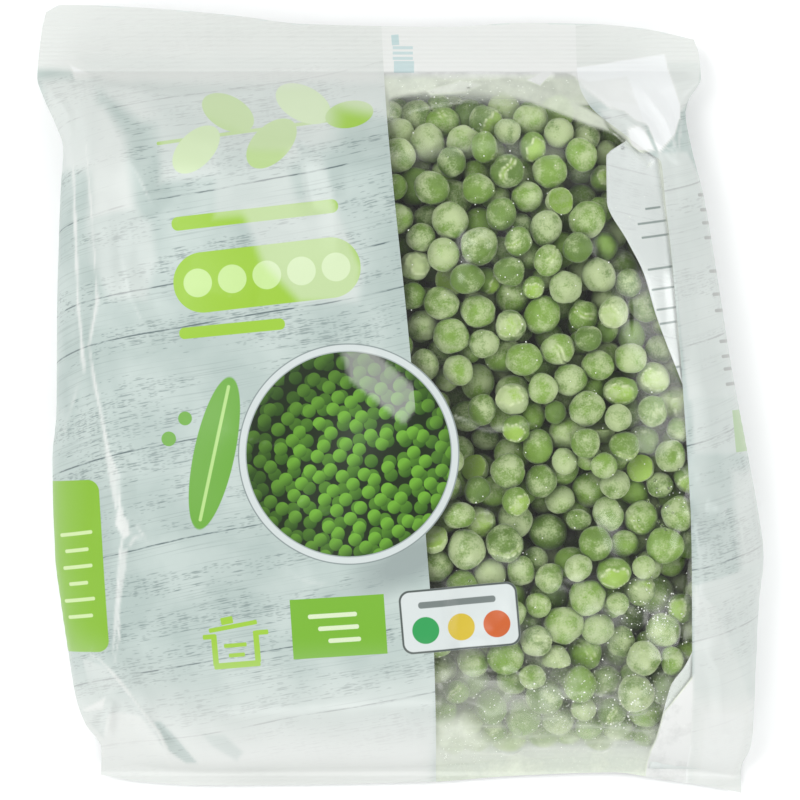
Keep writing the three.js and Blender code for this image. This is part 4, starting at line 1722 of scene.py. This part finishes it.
    def back_material(self) -> Material:
        """Makes the film of the back and the tuck: the wood and a few grey bars, without the front's print.

        Returns:
            The material.
        """
        material, tree = new_material(self.name + "_back")
        colour = mix(tree, 0.7, self.wood(tree), linear("#DADEDC"))
        place = self.place(tree)
        for ink in self.mirrored:
            colour = mix(tree, ink.mask(tree, place), colour, linear(ink.colour))
        add(tree, "ShaderNodeOutputMaterial", Surface=self.gloss(tree, colour))
        return material


@dataclass(frozen=True)
class WindowFilm:
    """The same film left clear, with a little frost inside it.

    Clear polyethylene shows as thin bright reflections, and as a milky bloom where frost has settled.

    Attributes:
        name: The material's name.
        printed: The printed film, some of whose print overlaps the window.
        frost: The bloom's colour.
        seal: The colour of doubled film, also laid where the painted reflections are strongest.
        stripes: Plain stripes on the seal.
    """

    name: str = "clear_polyethylene_film"
    printed: PrintedFilm = PrintedFilm()
    frost: str = "#DDE4D3"
    seal: str = "#D3D5D3"
    stripes: tuple[Ink, ...] = (
        Ink((-1.2, 90.5), (0.9, 1.3), "#AFC3C4"),
        *(Ink((0.7, 88.5 - 1.35 * i), (2.5, 0.35), "#B4C6C7", 0) for i in range(3)),
        Ink((1.0, 83.6), (2.5, 1.5), "#B4C6C7", 0),
    )

    def material(self) -> Material:
        """Makes the clear film's material, with the parts of the print that overlap the window.

        Returns:
            The material.
        """
        material, tree = new_material(self.name)
        place = self.printed.place(tree)
        colour, bowl = self.printed.bowl(tree, place, linear(PAPER))
        colour, tag = self.printed.tag(tree, place, colour)
        inked = add(tree, MATH, MAXIMUM, i0=bowl, i1=tag)
        haze = self.haze(tree, place)
        split = add(tree, "ShaderNodeSeparateXYZ", i0=place)
        clear = add(tree, "ShaderNodeBsdfTransparent")
        shine = add(tree, "ShaderNodeBsdfGlossy", Color=(1, 1, 1, 1), Roughness=0.28)
        # A thin sheet reflects alike from both sides, so its share is worked out from the angle alone
        slant = add(tree, "ShaderNodeLayerWeight", Blend=0.5)
        steep = add(tree, MATH, {"operation": "POWER"}, i0=slant.outputs["Facing"], i1=5.0)
        bright = add(tree, MAP_RANGE, Value=steep, To_Min=0.045, To_Max=0.9)
        film = add(tree, "ShaderNodeMixShader", i0=bright, i1=clear, i2=shine)
        sealed = add(tree, MAP_RANGE, Value=split.outputs[1], From_Min=80.0, From_Max=82.0)
        # Where the painted reflections are strongest, the bloom takes the doubled film's colour
        pale = add(tree, ATTRIBUTE, {"attribute_name": "pale"})
        folded = add(tree, MAP_RANGE, Value=pale.outputs["Fac"], From_Min=0.72, From_Max=0.92)
        plain = add(tree, MATH, MAXIMUM, i0=sealed, i1=folded)
        white = mix(tree, plain, linear(self.frost), linear(self.seal))
        for stripe in self.stripes:
            white = mix(tree, stripe.mask(tree, place), white, linear(stripe.colour))
        bloom = add(tree, PRINCIPLED, Base_Color=white, Roughness=0.55)
        frosty = add(tree, "ShaderNodeMixShader", i0=haze, i1=film, i2=bloom)
        ink = self.printed.gloss(tree, colour)
        whole = add(tree, "ShaderNodeMixShader", i0=inked, i1=frosty, i2=ink)
        add(tree, "ShaderNodeOutputMaterial", Surface=whole)
        return material

    def haze(self, tree: Tree, place: Socket) -> Node:
        """Adds the frost's cover, a band at each end, cloudy patches and fine specks, and the painted
        reflections.

        Args:
            tree: The material's tree.
            place: The place on the front.

        Returns:
            From 0 for clear film to 1 for white.
        """
        split = add(tree, "ShaderNodeSeparateXYZ", i0=place)
        patch = add(tree, NOISE, FLAT_NOISE, Vector=place, Scale=0.09, Detail=6.0, Roughness=0.65)
        uneven = add(tree, MATH, MULTIPLY_ADD, i0=patch, i1=30.0, i2=-15.0)
        level = add(tree, MATH, ADD, i0=split.outputs[1], i1=uneven)
        low = add(tree, MAP_RANGE, Value=level, From_Min=-78.0, From_Max=-100.0, To_Max=0.8)
        high = add(tree, MAP_RANGE, Value=split.outputs[1], From_Min=80.5, From_Max=82.5, To_Max=1.0)
        cloud = add(tree, MAP_RANGE, Value=patch, From_Min=0.4, From_Max=0.75, To_Max=0.3)
        lower = add(tree, MAP_RANGE, Value=split.outputs[1], From_Min=-40.0, From_Max=-76.0, To_Max=1.0)
        misty = add(tree, MATH, MULTIPLY, i0=cloud, i1=lower)
        grit = add(tree, NOISE, FLAT_NOISE, Vector=place, Scale=1.6, Detail=2.0)
        speck = add(tree, MAP_RANGE, Value=grit, From_Min=0.68, From_Max=0.74, To_Max=0.6)
        dusted = add(tree, MATH, MULTIPLY, i0=speck, i1=lower)
        # The pale facets stand for frost and painted reflection together
        pale = add(tree, ATTRIBUTE, {"attribute_name": "pale"})
        worn = add(tree, MAP_RANGE, Value=patch, From_Min=0.3, From_Max=0.65, To_Min=0.8, To_Max=1.15)
        facet = add(tree, MATH, MULTIPLY, i0=pale.outputs["Fac"], i1=worn)
        total = low
        for part in (high, misty, dusted, facet):
            total = add(tree, MATH, MAXIMUM, i0=total, i1=part)
        return total


@dataclass(frozen=True)
class FrozenPea:
    """Garden peas, blanched and frozen loose: waxy green skin under a patchy bloom of frost.

    Attributes:
        name: The material's name.
        deep: The skin at its darkest, and bright at its lightest.
        flesh: Where the skin is off.
        skin_edge: The torn edge of a skin.
        frost: The bloom, mottled with rime.
    """

    name: str = "frozen_pea_skin"
    deep: str = "#516E27"
    bright: str = "#7A9E3A"
    flesh: str = "#90B347"
    skin_edge: str = "#C9D6A6"
    frost: str = "#BFCD9C"
    rime: str = "#AFBD93"

    def material(self) -> Material:
        """Makes the peas' material.

        Returns:
            The material.
        """
        material, tree = new_material(self.name)
        skin = add(tree, ATTRIBUTE, {"attribute_name": "skin_mm"}).outputs["Vector"]
        tone = add(tree, ATTRIBUTE, {"attribute_name": "tone"}).outputs["Fac"]
        cold = add(tree, ATTRIBUTE, {"attribute_name": "frost"}).outputs["Fac"]
        inner = add(tree, ATTRIBUTE, {"attribute_name": "inner"}).outputs["Fac"]
        mottle = add(tree, NOISE, Vector=skin, Scale=0.3, Detail=3.0)
        spread = add(tree, MATH, MULTIPLY_ADD, i0=mottle, i1=0.7, i2=tone)
        green = add(tree, MAP_RANGE, Value=spread, From_Min=0.2, From_Max=1.4)
        colour = mix(tree, green, linear(self.deep), linear(self.bright))
        colour = mix(tree, inner, colour, linear(self.flesh))
        # Frost lies in patches 2 to 4 mm across, made of grains of about 0.5 mm
        patch = add(tree, NOISE, Vector=skin, Scale=0.24, Detail=3.0, Roughness=0.55)
        grain = add(tree, NOISE, Vector=skin, Scale=2.2, Detail=2.0, Roughness=0.6)
        amount = add(tree, MATH, MULTIPLY_ADD, i0=grain, i1=0.45, i2=patch)
        level = add(tree, MATH, MULTIPLY_ADD, i0=cold, i1=0.6, i2=amount)
        cover = add(tree, MAP_RANGE, {"interpolation_type": "SMOOTHSTEP"}, Value=level, From_Min=0.89,
                    From_Max=1.24, To_Max=0.8)
        white = mix(tree, mottle, linear(self.frost), linear(self.rime))
        colour = mix(tree, cover, colour, white)
        torn = add(tree, ATTRIBUTE, {"attribute_name": "rim"}).outputs["Fac"]
        colour = mix(tree, torn, colour, linear(self.skin_edge))
        rough = add(tree, MAP_RANGE, Value=cover, To_Min=0.5, To_Max=0.85)
        bump = add(tree, "ShaderNodeBump", Strength=0.5, Distance=0.0005, Height=amount)
        pea = add(tree, PRINCIPLED, Base_Color=colour, Roughness=rough, IOR=1.42, Sheen_Weight=0.25,
                  Sheen_Roughness=0.4, Normal=bump)
        add(tree, "ShaderNodeOutputMaterial", Surface=pea)
        return material


@dataclass(frozen=True)
class Frost:
    """Loose frost: white ice grains that scatter light and glint.

    Attributes:
        name: The material's name.
        white: The grains' colour.
    """

    name: str = "frost_grains"
    white: str = "#EDF1EA"

    def material(self) -> Material:
        """Makes the frost's material."""
        return plain_material(self.name, Base_Color=linear(self.white), Roughness=0.3, IOR=1.31)


@dataclass(frozen=True)
class Water:
    """Drops of melted frost: clear, each with one small bright point and a dark rim.

    Attributes:
        name: The material's name.
    """

    name: str = "clear_water"

    def material(self) -> Material:
        """Makes the drops' material."""
        return plain_material(self.name, Roughness=0.02, IOR=1.33, Transmission_Weight=1.0)


@dataclass(frozen=True)
class Studio:
    """The plain pale floor, the soft lights and the camera that looks straight down, in metres.

    Attributes:
        camera_height: How high the camera is.
        framed_width: The width that the picture takes in, at the height framed_at.
        sensor: Width of the camera's sensor, in millimetres.
        floor_size: Length of the floor's sides.
        floor_drop: How far the floor lies under the bag.
        sky: Strength of the room's even light.
        lamps: Each soft box's name, place, width and height, and power in watts.
    """

    camera_height: float = 1.15
    framed_width: float = 0.2
    framed_at: float = 0.0135
    sensor: float = 36.0
    floor_size: float = 3.0
    floor_drop: float = 0.0002
    sky: float = 0.4
    lamps: tuple[tuple[str, tuple[float, float, float], tuple[float, float], float], ...] = (
        ("soft_box_over", (-0.70, 0.38, 1.10), (0.6, 0.95), 8.0),
        ("soft_box_right", (1.00, 0.10, 0.75), (0.6, 0.6), 5.9),
        ("soft_box_bottom", (0.10, -0.95, 0.75), (0.9, 0.45), 6.6),
        ("soft_box_left", (-1.05, -0.20, 0.60), (0.5, 0.7), 4.0),
        ("soft_box_top", (0.20, 1.10, 0.70), (1.0, 0.4), 3.8),
    )

    def floor(self) -> None:
        """Lays the floor."""
        half, low = self.floor_size / 2 / MM, -self.floor_drop / MM
        corners = np.array([[-half, -half, low], [half, -half, low], [half, half, low], [-half, half, low]])
        piece = mesh_piece("floor", corners, np.array([[0, 1, 2, 3]]))
        piece.data.materials.append(plain_material("white_card", Base_Color=linear("#F6F7F7"), Roughness=0.9))

    def light(self, name: str, place: tuple[float, float, float], size: tuple[float, float],
              watts: float) -> None:
        """Hangs a soft box that faces the bag.

        Args:
            name: The light's name.
            place: Where it hangs.
            size: Its width and height.
            watts: Its power.
        """
        lamp = bpy.data.lights.new(name, "AREA")
        lamp.shape = "RECTANGLE"
        lamp.size, lamp.size_y = size
        lamp.energy = watts
        box = bpy.data.objects.new(name, lamp)
        box.location = place
        box.rotation_euler = (-Vector(place)).to_track_quat("-Z", "Y").to_euler()
        bpy.context.scene.collection.objects.link(box)

    def build(self) -> None:
        """Sets up the floor, the lights, the sky and the camera."""
        self.floor()
        for lamp in self.lamps:
            self.light(*lamp)
        scene = bpy.context.scene
        scene.world = bpy.data.worlds.new("pale_room")
        scene.world.use_nodes = True
        sky = scene.world.node_tree.nodes["Background"]
        sky.inputs["Color"].default_value = (1, 1, 1, 1)
        sky.inputs["Strength"].default_value = self.sky
        scene.view_settings.view_transform = "Standard"
        lens = bpy.data.cameras.new("camera")
        lens.sensor_width = self.sensor
        lens.lens = self.sensor * (self.camera_height - self.framed_at) / self.framed_width
        camera = bpy.data.objects.new("camera", lens)
        camera.location = (0, 0, self.camera_height)
        scene.collection.objects.link(camera)
        scene.camera = camera


def main() -> None:
    """Builds the peas, the film round them and the studio."""
    logging.basicConfig(level=logging.INFO, format="%(message)s")
    form = BagForm()
    heap = PeaHeap(form)
    heap.pack()
    peas = Peas(heap)
    peas.sort()
    pea_skin = FrozenPea().material()
    for kind in PeaKind:
        piece = peas.build(kind)
        if piece:
            dress(piece, pea_skin)
    pouch = Pouch(form, heap)
    pouch.lay_grid()
    pouch.relief()
    pouch.unroll()
    dress(Beads("frost_crumbs", pouch, CRUMBS, 0.08, 0.28, 0.12).build(), Frost().material())
    dress(Beads("water_drops", pouch, DROPS, 0.2, 0.8, 0.0).build(), Water().material())
    left, window, right = np.cumsum(pouch.columns)
    printed = PrintedFilm()
    print_material = printed.material()
    back_material = printed.back_material()
    dress(pouch.front_piece("front_film_left", 0, left), print_material)
    dress(pouch.front_piece("window_film", left, window), WindowFilm().material())
    dress(pouch.front_piece("front_film_right", window, right), print_material)
    dress(pouch.back_piece(), back_material)
    dress(pouch.tuck_piece(), back_material)
    Studio().build()


if __name__ == "__main__":
    main()
